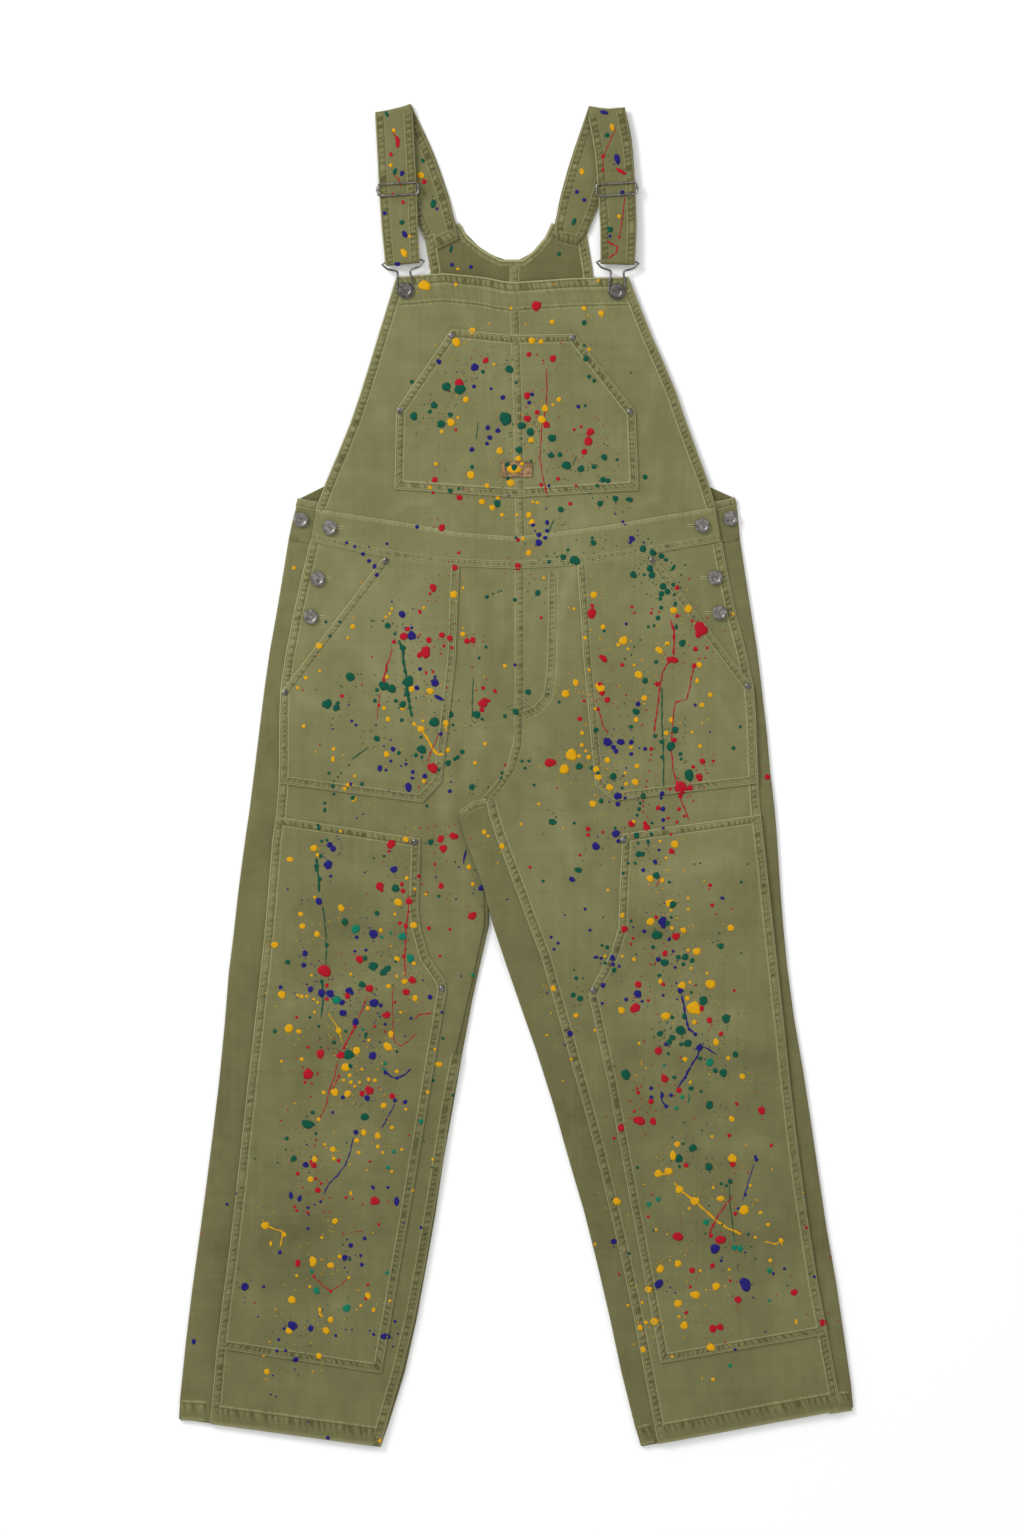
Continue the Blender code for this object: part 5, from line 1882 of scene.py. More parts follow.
        3: ((317, 1290, 1.3, 0), (734, 1247), (740, 1248), (706, 1222)),
        3.5: ((347, 1307, 1.3, 90),),
        4: ((403, 936), (410, 958), (710, 1062)),
        4.5: ((356, 929), (337, 1000)),
    },
    Hue.RED: {
        1: (
            (537, 355), (543, 361), (441, 654), (392, 650), (372, 657), (420, 635), (689, 579),
            (634, 613, 1.6, 90), (652, 609), (659, 612), (707, 618), (705, 658), (699, 659), (626, 695),
            (646, 710), (642, 725), (596, 701), (651, 755), (650, 760), (649, 771), (647, 781), (646, 787),
            (707, 773), (643, 801), (643, 806), (643, 812), (557, 788), (709, 889), (716, 914), (732, 909),
            (693, 801), (472, 667), (447, 688), (419, 787, 1.5, 20), (320, 745), (362, 685), (303, 690),
            (422, 884), (420, 828), (505, 765, 1.7, 0), (427, 892), (303, 1067), (312, 1083, 1.5, 90),
            (395, 1002, 2, 150), (385, 1031), (318, 1073), (311, 1096), (303, 1187), (353, 1198),
            (363, 1204), (330, 1197), (323, 1198), (324, 1211), (330, 1211), (316, 1140), (315, 1145),
            (288, 1109), (281, 1120), (370, 1161, 1.7, 80), (409, 1135), (388, 1201), (343, 1233),
            (255, 1302), (201, 1233), (631, 944, 2, 10), (655, 963), (650, 964), (641, 1086), (644, 1041),
            (695, 985), (680, 1057), (630, 1101), (652, 1194), (619, 1274, 1.8, 20), (748, 1172),
            (725, 1342), (830, 1257), (694, 1118),
        ),
        1.5: (
            (456, 430), (574, 430), (581, 427), (433, 493), (576, 486), (391, 155, 1.7, 20), (393, 195),
            (403, 203, 1.4, 0), (603, 170), (619, 238), (459, 553), (430, 594), (420, 612, 1.7, 25),
            (444, 646), (452, 648), (632, 607), (651, 613), (541, 618), (692, 621), (707, 648), (584, 701),
            (713, 761), (693, 767, 1.5, 80), (670, 789), (668, 818), (677, 822), (684, 816), (603, 832),
            (580, 855), (530, 867), (633, 938), (671, 834), (384, 681, 2, 10), (379, 705), (426, 673),
            (433, 672), (489, 701), (495, 691, 1.8, 30), (389, 851), (435, 864), (344, 1048), (339, 1076),
            (305, 1082), (308, 1047), (297, 1017), (450, 929), (440, 956), (375, 1026), (311, 1161),
            (316, 1178), (321, 1183), (346, 1197), (295, 1206), (297, 1210), (308, 1212), (314, 1276),
            (331, 1291), (368, 1284), (366, 1298), (379, 1224), (648, 1000), (734, 990), (637, 1088),
            (614, 1138), (634, 1111), (737, 1104), (771, 1145, 1.5, 140), (648, 1216), (713, 1225),
            (806, 1227), (730, 1280), (690, 1286), (686, 1312, 1.5, 130), (736, 1103),
        ),
        2: (
            (558, 479), (541, 485), (570, 504), (398, 143, 2.8, 5), (603, 157), (621, 172, 2.8, 60),
            (518, 540), (394, 642), (592, 606), (677, 616), (622, 665), (598, 709), (651, 749), (679, 809),
            (645, 823), (588, 835), (710, 885), (712, 905), (656, 917), (342, 696), (483, 688), (382, 890),
            (402, 884), (419, 876), (400, 923), (406, 925), (429, 928), (327, 985), (327, 999), (355, 1026),
            (404, 956), (406, 927), (298, 1173), (339, 1160), (720, 1034), (638, 1092), (663, 984),
            (729, 1135), (711, 1235), (735, 1213), (721, 1033),
        ),
        2.5: (
            (529, 355), (537, 413), (424, 182), (408, 629), (677, 588), (695, 649), (694, 666), (657, 684),
            (580, 719), (674, 740), (680, 796), (658, 808), (588, 829), (482, 710), (403, 891),
            (298, 1263, 1.6, 0), (686, 1165), (694, 1199), (712, 1265),
        ),
        3: (
            (486, 361), (584, 452), (435, 480), (460, 498), (455, 568), (429, 640), (442, 635), (450, 638),
            (420, 655), (467, 641), (473, 640), (603, 658, 1.6, 50), (602, 693), (607, 700), (702, 761),
            (690, 788), (767, 777), (671, 851), (441, 886), (348, 996), (362, 1093), (392, 1096),
            (318, 1190), (314, 1165), (665, 953), (709, 1020), (679, 1090), (701, 1008), (651, 1101),
            (732, 1164), (692, 1270),
        ),
        3.5: (
            (553, 359), (527, 396), (527, 419), (546, 425), (442, 528), (518, 567), (433, 588, 1.2, 10),
            (698, 635), (673, 660, 1.7, 75), (699, 777, 1.2, 0), (631, 824), (624, 929), (441, 839),
            (454, 836, 1.3, 90), (409, 901), (472, 916, 1.4, 120), (387, 1015, 1.2, 90),
            (413, 980, 1.2, 70), (406, 992), (638, 984), (653, 1121, 1.1, 0), (621, 1127, 1.1, 0),
            (761, 1110, 1.25, 20), (738, 1299, 1.1, 80), (794, 1292), (720, 1326), (823, 1322),
        ),
        4: (
            (590, 432), (404, 636), (600, 686), (646, 828), (676, 936), (443, 849), (380, 886), (360, 959),
            (370, 988), (341, 1055), (321, 1054, 1.2, 0), (375, 1200, 1.3, 90), (658, 1051), (664, 1078),
            (713, 1328),
        ),
        4.5: (
            (459, 383), (588, 442), (592, 614, 1.2, 175), (550, 762, 1.25, 90), (392, 844), (369, 1090),
            (639, 1120, 1.35, 80), (677, 1236, 1.2, 90), (720, 1239, 1.2, 80),
        ),
        5: ((537, 306), (483, 703), (432, 767, 1.1, 0), (308, 1074, 1.15, 0), (635, 1008)),
        5.5: ((425, 652),),
        6: ((682, 788, 1.25, 90),),
        6.5: ((325, 971),),
        7: ((700, 629),),
    },
    Hue.YELLOW: {
        1: (
            (489, 324), (554, 285), (588, 316), (463, 628), (354, 618), (362, 583), (569, 608), (591, 630),
            (600, 639), (631, 641), (644, 704), (680, 723), (619, 686), (586, 725), (708, 720), (702, 723),
            (642, 660), (656, 626), (595, 795), (563, 828), (668, 870), (684, 870), (704, 881), (677, 918),
            (614, 858), (484, 677), (316, 752), (344, 755), (378, 1069), (391, 946), (350, 1164),
            (367, 1170), (322, 1259), (357, 1309), (270, 1341), (276, 1309), (295, 1103), (313, 1371),
            (373, 1232), (547, 1035, 2.2, 85), (563, 1081), (636, 1075), (646, 1068), (551, 1013),
            (709, 1074), (772, 1169), (644, 1184), (725, 1286), (706, 1289), (634, 1344), (702, 1378),
            (803, 1192), (670, 1260), (757, 1200), (667, 1234), (746, 1145),
        ),
        1.5: (
            (494, 365), (458, 418), (553, 405), (537, 503), (410, 237), (456, 285, 1.5, 0), (458, 269),
            (598, 281), (511, 309), (517, 515), (463, 588), (424, 608), (392, 609), (390, 614), (386, 617),
            (348, 638), (544, 578), (533, 502), (538, 503), (574, 609), (628, 649), (634, 665), (692, 732),
            (733, 614), (589, 670), (595, 709), (586, 751), (625, 773), (539, 804), (521, 824), (660, 841),
            (666, 858), (608, 890), (671, 910), (688, 898), (688, 909), (320, 671), (298, 688, 1.3, 20),
            (423, 721), (431, 722), (355, 776), (341, 831), (488, 836), (415, 889), (426, 894), (395, 914),
            (315, 897), (298, 995), (307, 996), (314, 999), (318, 1002), (315, 1012), (397, 976),
            (351, 974), (312, 975), (401, 1012), (369, 1040), (344, 1080), (360, 1082), (355, 1086),
            (362, 1069), (282, 1061), (435, 1049), (406, 1109), (325, 1144), (359, 1152, 1.5, 90),
            (383, 1152), (402, 1149), (392, 1171), (433, 1159), (413, 1190), (351, 1193, 1.5, 170),
            (322, 1237), (271, 1243, 1.6, 0), (297, 1275), (349, 1277), (310, 1286), (390, 1300),
            (361, 1305), (264, 1355), (622, 956), (605, 956), (707, 973), (690, 982), (691, 968),
            (595, 1030), (571, 1059), (639, 1043), (690, 1082), (688, 950), (755, 1237), (712, 1136),
            (713, 1187), (750, 1185), (760, 1212, 1.5, 100), (656, 1229), (689, 1208), (729, 1269),
            (679, 1316), (796, 1321, 1.7, 0), (642, 1302), (628, 1305), (672, 1356), (595, 1244),
            (700, 1270),
        ),
        2: (
            (589, 350), (442, 432), (436, 464), (430, 488), (498, 498), (522, 464), (394, 131), (391, 166),
            (612, 128, 2, 10), (619, 217), (502, 515), (523, 539), (294, 568), (618, 645), (585, 638),
            (697, 681, 1.3, 0), (671, 720, 1.5, 0), (582, 733), (579, 756), (582, 745), (626, 784),
            (631, 747), (700, 746), (672, 928), (306, 678), (387, 677), (384, 708), (304, 726), (505, 666),
            (485, 744), (475, 763), (334, 749), (333, 759, 1.5, 170), (414, 724), (348, 785), (345, 789),
            (424, 781), (318, 855), (473, 884), (407, 878), (381, 930), (414, 963), (302, 996),
            (299, 1031, 1.5, 80), (368, 1008), (389, 986, 1.4, 90), (350, 1075), (351, 1082), (369, 1079),
            (375, 1080), (397, 1071), (324, 1092), (302, 1059), (428, 1092), (319, 1119), (392, 1127),
            (378, 1146), (334, 1158), (340, 1256), (374, 1309, 1.2, 160), (320, 1309), (380, 1440),
            (634, 959), (660, 981, 1.4, 165), (728, 1058), (768, 1224), (770, 1260), (646, 1322),
            (713, 1379),
        ),
        2.5: (
            (552, 322), (541, 342), (559, 400), (487, 486), (582, 172, 1.3, 10), (584, 309), (353, 627),
            (463, 634), (603, 627), (667, 644), (710, 695), (702, 705), (666, 733), (636, 720), (589, 757),
            (637, 766), (633, 822), (662, 880), (622, 915), (388, 719), (403, 708), (448, 750),
            (290, 859, 1.5, 90), (484, 832), (469, 867), (301, 914), (439, 1064, 1.6, 80), (357, 1140),
            (284, 1234), (687, 998), (694, 1022), (576, 1015), (685, 1059), (731, 1118), (781, 1240),
            (732, 1119),
        ),
        3: (
            (466, 400), (531, 441), (518, 459), (482, 502), (492, 508), (404, 254, 1.5, 20), (601, 314),
            (529, 553), (529, 515), (532, 522), (659, 650, 1.5, 60), (699, 665), (576, 683, 1.2, 0),
            (644, 698), (607, 760), (683, 930), (412, 689), (387, 754), (446, 723), (354, 799), (406, 839),
            (502, 846), (303, 926), (317, 934), (397, 959), (339, 1030), (405, 981), (415, 998),
            (391, 1034, 1.2, 0), (384, 1105), (364, 1132), (378, 1135, 1.15, 0), (333, 1149), (315, 1159),
            (311, 1179), (335, 1221), (331, 1265, 1.2, 95), (368, 1295, 1.2, 40), (331, 1319), (319, 1355),
            (267, 1371), (553, 988), (716, 1042, 1.3, 0), (742, 1076), (677, 1144), (720, 1198, 1.3, 100),
            (640, 1327), (643, 1349),
        ),
        3.5: (
            (472, 331), (532, 341), (545, 409), (500, 451), (421, 175), (319, 646), (594, 595), (673, 610),
            (596, 769), (598, 777), (610, 787), (635, 782), (593, 804), (650, 878), (731, 928), (430, 691),
            (421, 729), (314, 848), (341, 908), (414, 925), (275, 945), (348, 1093), (326, 1330),
            (289, 1330), (621, 1010), (673, 1155, 1.4, 5), (678, 1263), (648, 1289),
        ),
        4: (
            (456, 343, 1.2, 60), (451, 423), (542, 420), (471, 475), (511, 483), (514, 470, 1.9, 90),
            (454, 595), (688, 609), (639, 675), (566, 694), (675, 844), (651, 921), (398, 902), (282, 995),
            (388, 1046, 1.2, 50), (357, 1050), (335, 1092), (266, 1225), (313, 1261, 1.25, 10), (292, 1299),
            (696, 951), (682, 985), (666, 1016, 1.15, 90), (668, 1171), (658, 1173), (679, 1189),
            (617, 1201), (660, 1269), (695, 1294, 1.3, 70), (716, 1286), (678, 1303), (684, 1325),
            (654, 1321), (711, 1347),
        ),
        4.5: ((623, 641), (289, 1028), (347, 1067), (695, 1200), (732, 1158)),
        5: ((424, 286, 1.3, 85), (601, 688), (564, 769), (671, 904), (710, 984), (744, 1210)),
        6: ((572, 755),),
        7: ((695, 1008),),
    },
}

# The runs of each paint: width in pixels, then the columns and rows that it goes through.
RUNS: dict[Hue, tuple[tuple[float, Corners], ...]] = {
    Hue.RED: (
        (1, ((546.3, 369), (546.6, 388), (546.3, 408), (542, 426), (539.6, 458), (543, 479), (548.4, 498))),
        (0.9, ((544, 487), (546, 492), (548.5, 497))),
        (1.4, ((392, 131), (396, 138), (397.5, 150))),
        (1, ((393, 175.4), (398.5, 178.6), (401, 188.4))),
        (0.9, ((616, 128), (609, 143), (603.4, 157), (603, 176))),
        (0.9, ((625, 197), (622.5, 217), (619.7, 236))),
        (1.4, ((606, 241.5), (612, 245), (617, 247), (616.4, 253.4), (607.7, 260))),
        (2, ((670, 620), (673.4, 629), (674, 639), (673.4, 656))),
        (1.4, (
            (672, 661), (666, 665), (662, 674), (660, 684), (657.6, 705.5), (654.3, 728.7), (653.5, 734.5),
        )),
        (1.2, (
            (694, 666.5), (691, 679), (689, 690.6), (686.6, 699), (676, 702), (673.4, 712), (672.5, 724),
            (671.6, 740), (671.4, 749), (672.3, 767), (676.8, 783), (680.4, 799), (689.3, 820.7),
        )),
        (1, ((598.4, 709), (603, 725.4), (608, 734.5))),
        (0.9, ((661.6, 876), (655.4, 887))),
        (1, ((392, 650.4), (388, 665), (384.4, 677.3))),
        (0.9, ((380.4, 692.7), (378, 708), (377.4, 719.4))),
        (1.2, ((387, 661.7), (385, 673.8), (383.5, 681.5))),
        (1.3, ((409, 903), (408.4, 911.4), (406, 927), (406, 941.4), (404.5, 957), (406, 977))),
        (0.9, ((440.6, 731), (434, 745), (427, 762))),
        (0.9, ((367.5, 996), (363, 1007.5), (358.6, 1018.3))),
        (2, ((355, 1026.3), (349.7, 1036), (344.3, 1047.7))),
        (0.9, ((338, 1060.3), (335.4, 1073.6), (330, 1088), (326.6, 1104), (319.3, 1120))),
        (1, ((339, 1076.3), (331, 1093.2))),
        (0.8, (
            (394.3, 984.3), (392.5, 997), (393.2, 1032.5), (395.2, 1041.5), (400.5, 1046), (408.6, 1040.6),
            (416.6, 1032.5),
        )),
        (1.3, ((414, 1019.7), (420.6, 1014), (432.5, 1012.6))),
        (0.9, ((313.7, 1276.3), (325.4, 1287), (331, 1290.8), (340, 1285), (347, 1278.7))),
        (0.6, ((349.6, 1232), (363.4, 1230.7))),
        (1.2, ((732.8, 1195), (724, 1206), (716.6, 1217), (711, 1229), (709.3, 1236), (713, 1238))),
    ),
    Hue.GREEN: (
        (0.8, ((478, 422), (476, 440))),
        (0.8, ((577, 456), (572, 466))),
        (1.1, ((554, 519.8), (547.4, 534.7))),
        (1.2, ((661.8, 687.3), (661.8, 705), (661.7, 724), (663, 745), (663.4, 765), (663.4, 787.7))),
        (2.4, (
            (398.5, 640), (402.6, 648.3), (403.5, 659), (405, 669), (406, 675.6), (407.5, 694),
            (410, 706.5), (412, 717.7),
        )),
        (0.9, ((473.3, 676.4), (472.6, 698), (472, 719.4))),
        (1, ((368.8, 747), (360, 753), (351.6, 760))),
        (2.2, ((316.8, 857), (317, 866), (319, 879), (319.5, 892))),
        (1, ((322.9, 905.7), (324.7, 917.3), (326, 934.3), (326.6, 945), (326, 964.7))),
        (1.6, ((322, 980.7), (323, 988), (323, 1005.7), (321, 1018.3))),
        (0.8, ((728.7, 1184), (730, 1208.4), (732.8, 1227.8), (734, 1240))),
    ),
    Hue.BLUE: (
        (1.8, ((466, 848.6), (464.5, 857), (463.5, 864))),
        (1.4, (
            (383.6, 1074.5), (386.3, 1072.4), (391.6, 1076.3), (397, 1078), (406, 1073.6), (411.3, 1068.2),
        )),
        (1.1, ((353.7, 1137), (350.8, 1150.3), (346, 1163.6), (337.5, 1175), (329, 1184), (324, 1194))),
        (1, ((395, 1103), (390.8, 1111.5), (386, 1120), (381.6, 1127.7))),
        (2, ((681.3, 993), (684, 1007.5), (686.6, 1021.8), (689, 1029), (695.2, 1034))),
        (1.8, ((699, 1047), (698.2, 1054), (689.3, 1068), (684.8, 1077), (676.8, 1088))),
        (1.2, ((699, 1046), (708, 1048.6), (717, 1054.8))),
        (1.6, ((661.6, 1091), (660.6, 1096), (662, 1101), (666.4, 1106))),
        (0.9, ((754, 1163.6), (749.3, 1177), (744.5, 1194), (741.5, 1201))),
    ),
    Hue.YELLOW: (
        (2.6, ((413.6, 724), (421.3, 729), (427.4, 738.3), (431.7, 747), (437.7, 754.4), (445.4, 754.7))),
        (1.8, ((445.8, 723), (446.3, 733))),
        (1.2, ((327.7, 1012), (334, 1021), (339, 1030), (342.5, 1043))),
        (1.5, ((266, 1225), (274.5, 1228.5), (281.8, 1230.7), (283.7, 1234), (279.8, 1247))),
        (2, ((319.8, 1309), (320.5, 1314), (323.5, 1317))),
        (0.7, ((641, 1057), (642, 1068))),
        (2.2, (
            (674, 1182), (679, 1189), (687, 1195), (694.8, 1200), (705.7, 1210.8), (717.8, 1221.7),
            (730, 1229), (742, 1234),
        )),
        (1.4, ((763.8, 1241), (776, 1243.6), (780.8, 1240), (782.7, 1246))),
        (2.2, ((658.4, 1172.8), (664, 1174), (668, 1171))),
    ),
    Hue.SEA: (
        (1.2, ((688.5, 1092), (689.5, 1098), (687.5, 1104))),
    ),
}
SPECKS_EACH = 7
SPECK_REACH = 9.0
SPECK_SIZES = (0.28, 0.75)
SPECKED_FROM = 2.6


class DropShape:
    """A ball made by Blender's own operator, kept as arrays that every drop is shaped from."""

    def __init__(self, segments: int, rings: int) -> None:
        """Makes the ball.

        Args:
            segments: Faces round it.
            rings: Faces from top to bottom.
        """
        bm = bmesh.new()
        bmesh.ops.create_uvsphere(bm, u_segments=segments, v_segments=rings, radius=1.0)
        self.points, self.faces = mesh_arrays(bm)


class Paint:
    """Drops, runs and specks of one paint, gathered as one mesh."""

    SMALL, BIG = 1.4, 5.0
    SPREAD = 0.12
    BURIED = 0.3 * MM
    BASE_LIFT = 0.08 * MM
    LOBES = (1, 2, 3, 5)
    RAGGED, MORE_RAGGED, UNEVEN, LOBE_SHARES, TURN = 0.06, 0.035, (0.5, 1.0), (0.3, 1.0), 6.28
    STEP_OVER, THIN, THICKER, DOMED = 2.0 * MM, 0.18, 0.05, 0.7
    SOAKED_EDGE, SOAKED_SPECK = 0.2, 0.05
    RUN_STEP, RUN_SWELL, RUN_PITCH, RUN_END, RUN_TIP = 1.6 * MM, 0.45, 9.0 * MM, 3.0 * MM, 0.15
    WANDER, WANDER_PITCH = 0.35 * MM, 14.0 * MM
    RUN_ACROSS, RUN_HEIGHTS = (-1.0, -0.5, 0.5, 1.0, 0.6, -0.6), (0.0, 0.2, 0.2, 0.0, -0.3, -0.3)

    def __init__(self, hue: Hue, surface: Surface, lift: float) -> None:
        """Starts the mesh.

        Args:
            hue: The paint.
            surface: The garment, with its seams.
            lift: Extra height that keeps one paint over another, in metres.
        """
        self.hue = hue
        self.surface = surface
        self.lift = lift + self.BASE_LIFT
        self.rng = random.Random(hue.value)
        self.large, self.small = DropShape(14, 5), DropShape(8, 3)
        self.places: list[Points] = []
        self.wear_soak_and_shade: list[Points] = []
        self.faces: list[list[int]] = []
        self.count = 0

    def gather(self, places: Points, wear_soak_and_shade: Points, faces: list[list[int]]) -> None:
        """Adds a closed shape to the mesh.

        Args:
            places: Its points.
            wear_soak_and_shade: How far the paint has soaked in at each.
            faces: Its faces, as lists of point numbers.
        """
        self.places.append(places)
        self.wear_soak_and_shade.append(wear_soak_and_shade)
        self.faces.extend([index + self.count for index in face] for face in faces)
        self.count += len(places)

    def drop(self, px: float, py: float, radius: float, stretch: float = 1.0, tilt: float = 0.0) -> None:
        """Adds a drop: a low dome with an uneven edge that follows the cloth under it.

        Args:
            px: Column in the photograph.
            py: Row in the photograph.
            radius: Radius in pixels.
            stretch: Length over width.
            tilt: Turn of its long way in degrees.
        """
        shape = self.small if radius < self.SMALL else self.large
        x, y, dome = shape.points.T
        angle = np.arctan2(y, x)
        ragged = self.RAGGED + self.MORE_RAGGED * min(radius, self.BIG) * self.rng.uniform(*self.UNEVEN)
        edge = np.ones(len(x))
        for lobe in self.LOBES:
            depth = ragged * self.rng.uniform(*self.LOBE_SHARES) / lobe ** 0.5
            edge += depth * np.cos(lobe * angle + self.rng.uniform(0, self.TURN))
        cos, sin = math.cos(math.radians(tilt)), math.sin(math.radians(tilt))
        size = (radius + self.SPREAD) * PHOTO_MM * MM
        across, along = x * edge * size, y * edge * size * stretch
        middle = photo_place(px, py)
        columns = middle[0] + across * cos - along * sin, middle[1] + across * sin + along * cos
        flat = np.stack(columns, axis=1)
        heights = self.surface.heights(flat, fallback=-1.0)
        known = heights[heights > 0]
        if len(known) < len(heights) / 2:
            return
        ground = float(np.median(known))
        heights = np.where(np.abs(heights - ground) < self.STEP_OVER, heights, ground)
        thickness = (self.THIN + self.THICKER * min(radius, self.BIG)) * MM
        domed = thickness * np.clip(dome, 0, 1) ** self.DOMED + self.lift
        over = np.where(dome > 0, domed, dome * self.BURIED)
        soaked = self.SOAKED_EDGE * (1.0 - np.abs(dome)) + (self.SOAKED_SPECK if shape is self.small else 0.0)
        self.gather(np.concatenate([flat, (heights + over)[:, None]], axis=1), soaked, shape.faces)

    def run(self, width: float, corners: Corners) -> None:
        """Adds a thin run of paint with beads in it.

        Args:
            width: Width in pixels.
            corners: Columns and rows that it goes through.
        """
        line = photo_line(*corners)
        along = np.linspace(0, line.total, max(4, round(line.total / self.RUN_STEP)) + 1)
        half = width * PHOTO_MM * MM / 2
        swell = 1.0 + self.RUN_SWELL * random_profile(along, self.RUN_PITCH, self.rng)
        ends = np.clip(np.minimum(along, line.total - along) / self.RUN_END, self.RUN_TIP, 1.0)
        breadth = half * swell * ends
        wander = self.WANDER * random_profile(along, self.WANDER_PITCH, self.rng)
        middle = line.rows(along, np.array([0.0]))[:, 0]
        out = (line.rows(along, np.array([MM]))[:, 0] - middle) / MM
        shift = breadth[:, None] * np.array(self.RUN_ACROSS)[None] + wander[:, None]
        flat = middle[:, None] + out[:, None] * shift[..., None]
        heights = smooth_along(fill_gaps(self.surface.heights(flat, fallback=-1.0)), 1)
        heights = heights + (np.array(self.RUN_HEIGHTS) * MM)[None] + self.lift
        places = np.concatenate([flat, heights[..., None]], axis=2)
        points, faces = mesh_arrays(ribbon_mesh(places, np.zeros(heights.shape)))
        self.gather(points, np.full(len(points), self.SOAKED_EDGE), faces)

    def specks(self, px: float, py: float, radius: float) -> None:
        """Adds fine specks round a big drop."""
        for _ in range(SPECKS_EACH):
            angle = self.rng.uniform(0, 2 * math.pi)
            reach = radius + self.rng.uniform(1.0, SPECK_REACH + radius * 2)
            size = self.rng.uniform(*SPECK_SIZES)
            self.drop(px + reach * math.cos(angle), py + reach * math.sin(angle), size)

    def build(self, material: Material) -> Piece:
        """Makes the mesh.

        Args:
            material: The paint's material.

        Returns:
            The piece.
        """
        for radius, spots in DROPS[self.hue].items():
            for px, py, *turned in spots:
                self.drop(px, py, radius, *turned)
                if radius > SPECKED_FROM:
                    self.specks(px, py, radius)
        for width, corners in RUNS.get(self.hue, ()):
            self.run(width, corners)
        places, wear_soak_and_shade = np.concatenate(self.places), np.concatenate(self.wear_soak_and_shade)
        piece = joined_mesh("paint_" + self.hue.value, places, self.faces, material, wear_soak_and_shade)
        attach(piece, "root")
        return piece


PAINTS = {
    Hue.YELLOW: PaintFinish("paint_yellow", (0.57, 0.29, 0.002, 1.0), (0.38, 0.21, 0.010, 1.0)),
    Hue.RED: PaintFinish("paint_red", (0.35, 0.003, 0.014, 1.0), (0.20, 0.014, 0.018, 1.0)),
    Hue.SEA: PaintFinish("paint_sea_green", (0.0, 0.15, 0.083, 1.0), (0.025, 0.12, 0.060, 1.0)),
    Hue.BLUE: PaintFinish("paint_blue", (0.010, 0.007, 0.130, 1.0), (0.030, 0.027, 0.085, 1.0)),
    Hue.GREEN: PaintFinish("paint_green", (0.0, 0.066, 0.038, 1.0), (0.018, 0.070, 0.032, 1.0)),
}
PAINT_LIFT = 0.03 * MM
TARNISHED = (0.26, 0.25, 0.235, 1.0), (0.045, 0.042, 0.039, 1.0)


# Setting


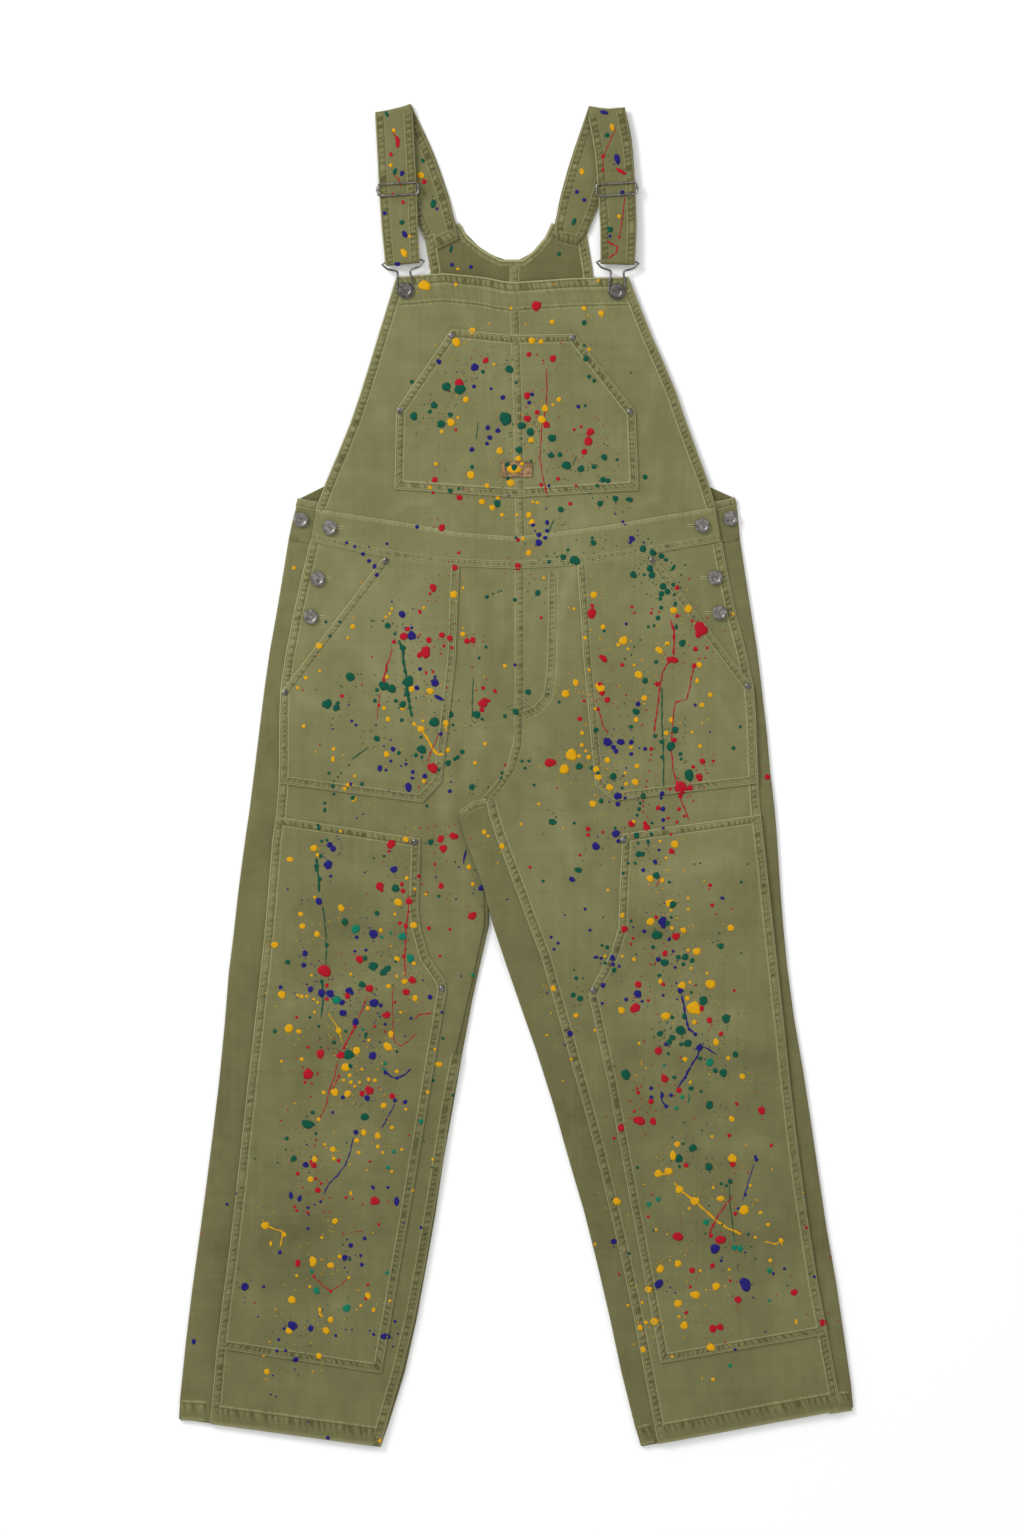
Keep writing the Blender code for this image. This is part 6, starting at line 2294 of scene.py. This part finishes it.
class Studio:
    """Pale floor, soft light and a camera straight above."""

    DISTANCE, SENSOR, CLIP_END = 6.0, 24.0, 40.0
    FLOOR_SIZE, FLOOR_LOW, FLOOR_TONE, FLOOR_ROUGH = 8.0, -0.3 * MM, (0.90, 0.90, 0.90, 1.0), 0.9
    KEY_SIZE, KEY_POWER, KEY_PLACE = 1.6, 110.0, (-2.6, 2.4, 2.3)
    SKY_TONE, SKY_STRENGTH = (1.0, 1.0, 1.0, 1.0), 0.9

    def build(self) -> None:
        """Makes the floor, lights, world and camera."""
        self.floor()
        self.camera()
        self.lights()

    def floor(self) -> None:
        """Makes the floor."""
        bm = bmesh.new()
        bmesh.ops.create_grid(bm, x_segments=4, y_segments=4, size=self.FLOOR_SIZE)
        bmesh.ops.translate(bm, verts=bm.verts, vec=(0, 0, self.FLOOR_LOW))
        material, shader, surface = Finish("pale_floor").start()
        shader.fill(surface, {"Base Color": self.FLOOR_TONE, "Roughness": self.FLOOR_ROUGH})
        mesh_object("floor", bm, material)

    def camera(self) -> None:
        """Makes the camera, which frames the garment as the photograph does."""
        data = bpy.data.cameras.new("camera")
        data.sensor_fit = "VERTICAL"
        data.sensor_height = self.SENSOR
        data.lens = self.SENSOR * self.DISTANCE / (PHOTO_HEIGHT * PHOTO_MM * MM)
        data.clip_end = self.CLIP_END
        camera = bpy.data.objects.new("camera", data)
        x, y = photo_place(PHOTO_WIDTH / 2, PHOTO_HEIGHT / 2)
        camera.location = (x, y, self.DISTANCE)
        bpy.context.scene.collection.objects.link(camera)
        bpy.context.scene.camera = camera

    def lights(self) -> None:
        """Makes a wide soft key light from the upper left and an even surround."""
        key = bpy.data.lights.new("key", "AREA")
        key.shape = "DISK"
        key.size = self.KEY_SIZE
        key.energy = self.KEY_POWER
        lamp = bpy.data.objects.new("key", key)
        lamp.location = self.KEY_PLACE
        lamp.rotation_euler = (-lamp.location).to_track_quat("-Z", "Y").to_euler()
        bpy.context.scene.collection.objects.link(lamp)
        world = bpy.data.worlds.new("studio")
        world.use_nodes = True
        sky = {"Color": self.SKY_TONE, "Strength": self.SKY_STRENGTH}
        Shader(world.node_tree).fill(world.node_tree.nodes["Background"], sky)
        bpy.context.scene.world = world
        bpy.context.scene.view_settings.view_transform = "Standard"


def main() -> None:
    """Builds the garment's looks and reports each piece."""
    logging.basicConfig(level=logging.INFO, format="%(message)s")
    random.seed(SEED)
    groups = Finishes()
    canvas = CanvasFinish().build(groups)
    thread = ThreadFinish().build()
    metal = MetalFinish().build()
    tarnished = MetalFinish("tarnished_nickel", *TARNISHED).build()
    looks = {
        **dict.fromkeys(("rivet", "hook", "bib_button"), tarnished),
        **dict.fromkeys(("side_button", "slider"), metal),
        "leather_patch": LeatherFinish().build(),
    }
    Studio().build()
    cloth = Cloth()
    # Copies of the canvas darkened with painted shade: one for cloth that turns round the folds, a darker one
    # for the inside of the back.
    turned = CanvasFinish("olive_canvas_shaded_turned", shade=0.30, low_shade=0.25).build(groups)
    inside = CanvasFinish("olive_canvas_shaded_inside", shade=0.55).build(groups)
    cloth.build(canvas, turned, inside)
    stitching = Stitching()
    seams = Seams(cloth).build(cloth.surface(), stitching, (canvas, turned, thread))
    threads = stitching.build("stitches", thread)
    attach(threads, "root")
    LOG.info("stitches: %d", len(stitching.stitches))
    ground = Surface([*cloth.pieces.values(), *seams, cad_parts["leather_patch"]])
    for i, (hue, finish) in enumerate(PAINTS.items()):
        spatter = Paint(hue, ground, i * PAINT_LIFT).build(finish.build())
        LOG.info("%s: %d faces", spatter.name, len(spatter.data.polygons))
    for name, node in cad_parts.items():
        material = next((finish for start, finish in looks.items() if name.startswith(start)), None)
        if material is not None:
            node.data.materials.clear()
            node.data.materials.append(material)


if __name__ == "__main__":
    main()
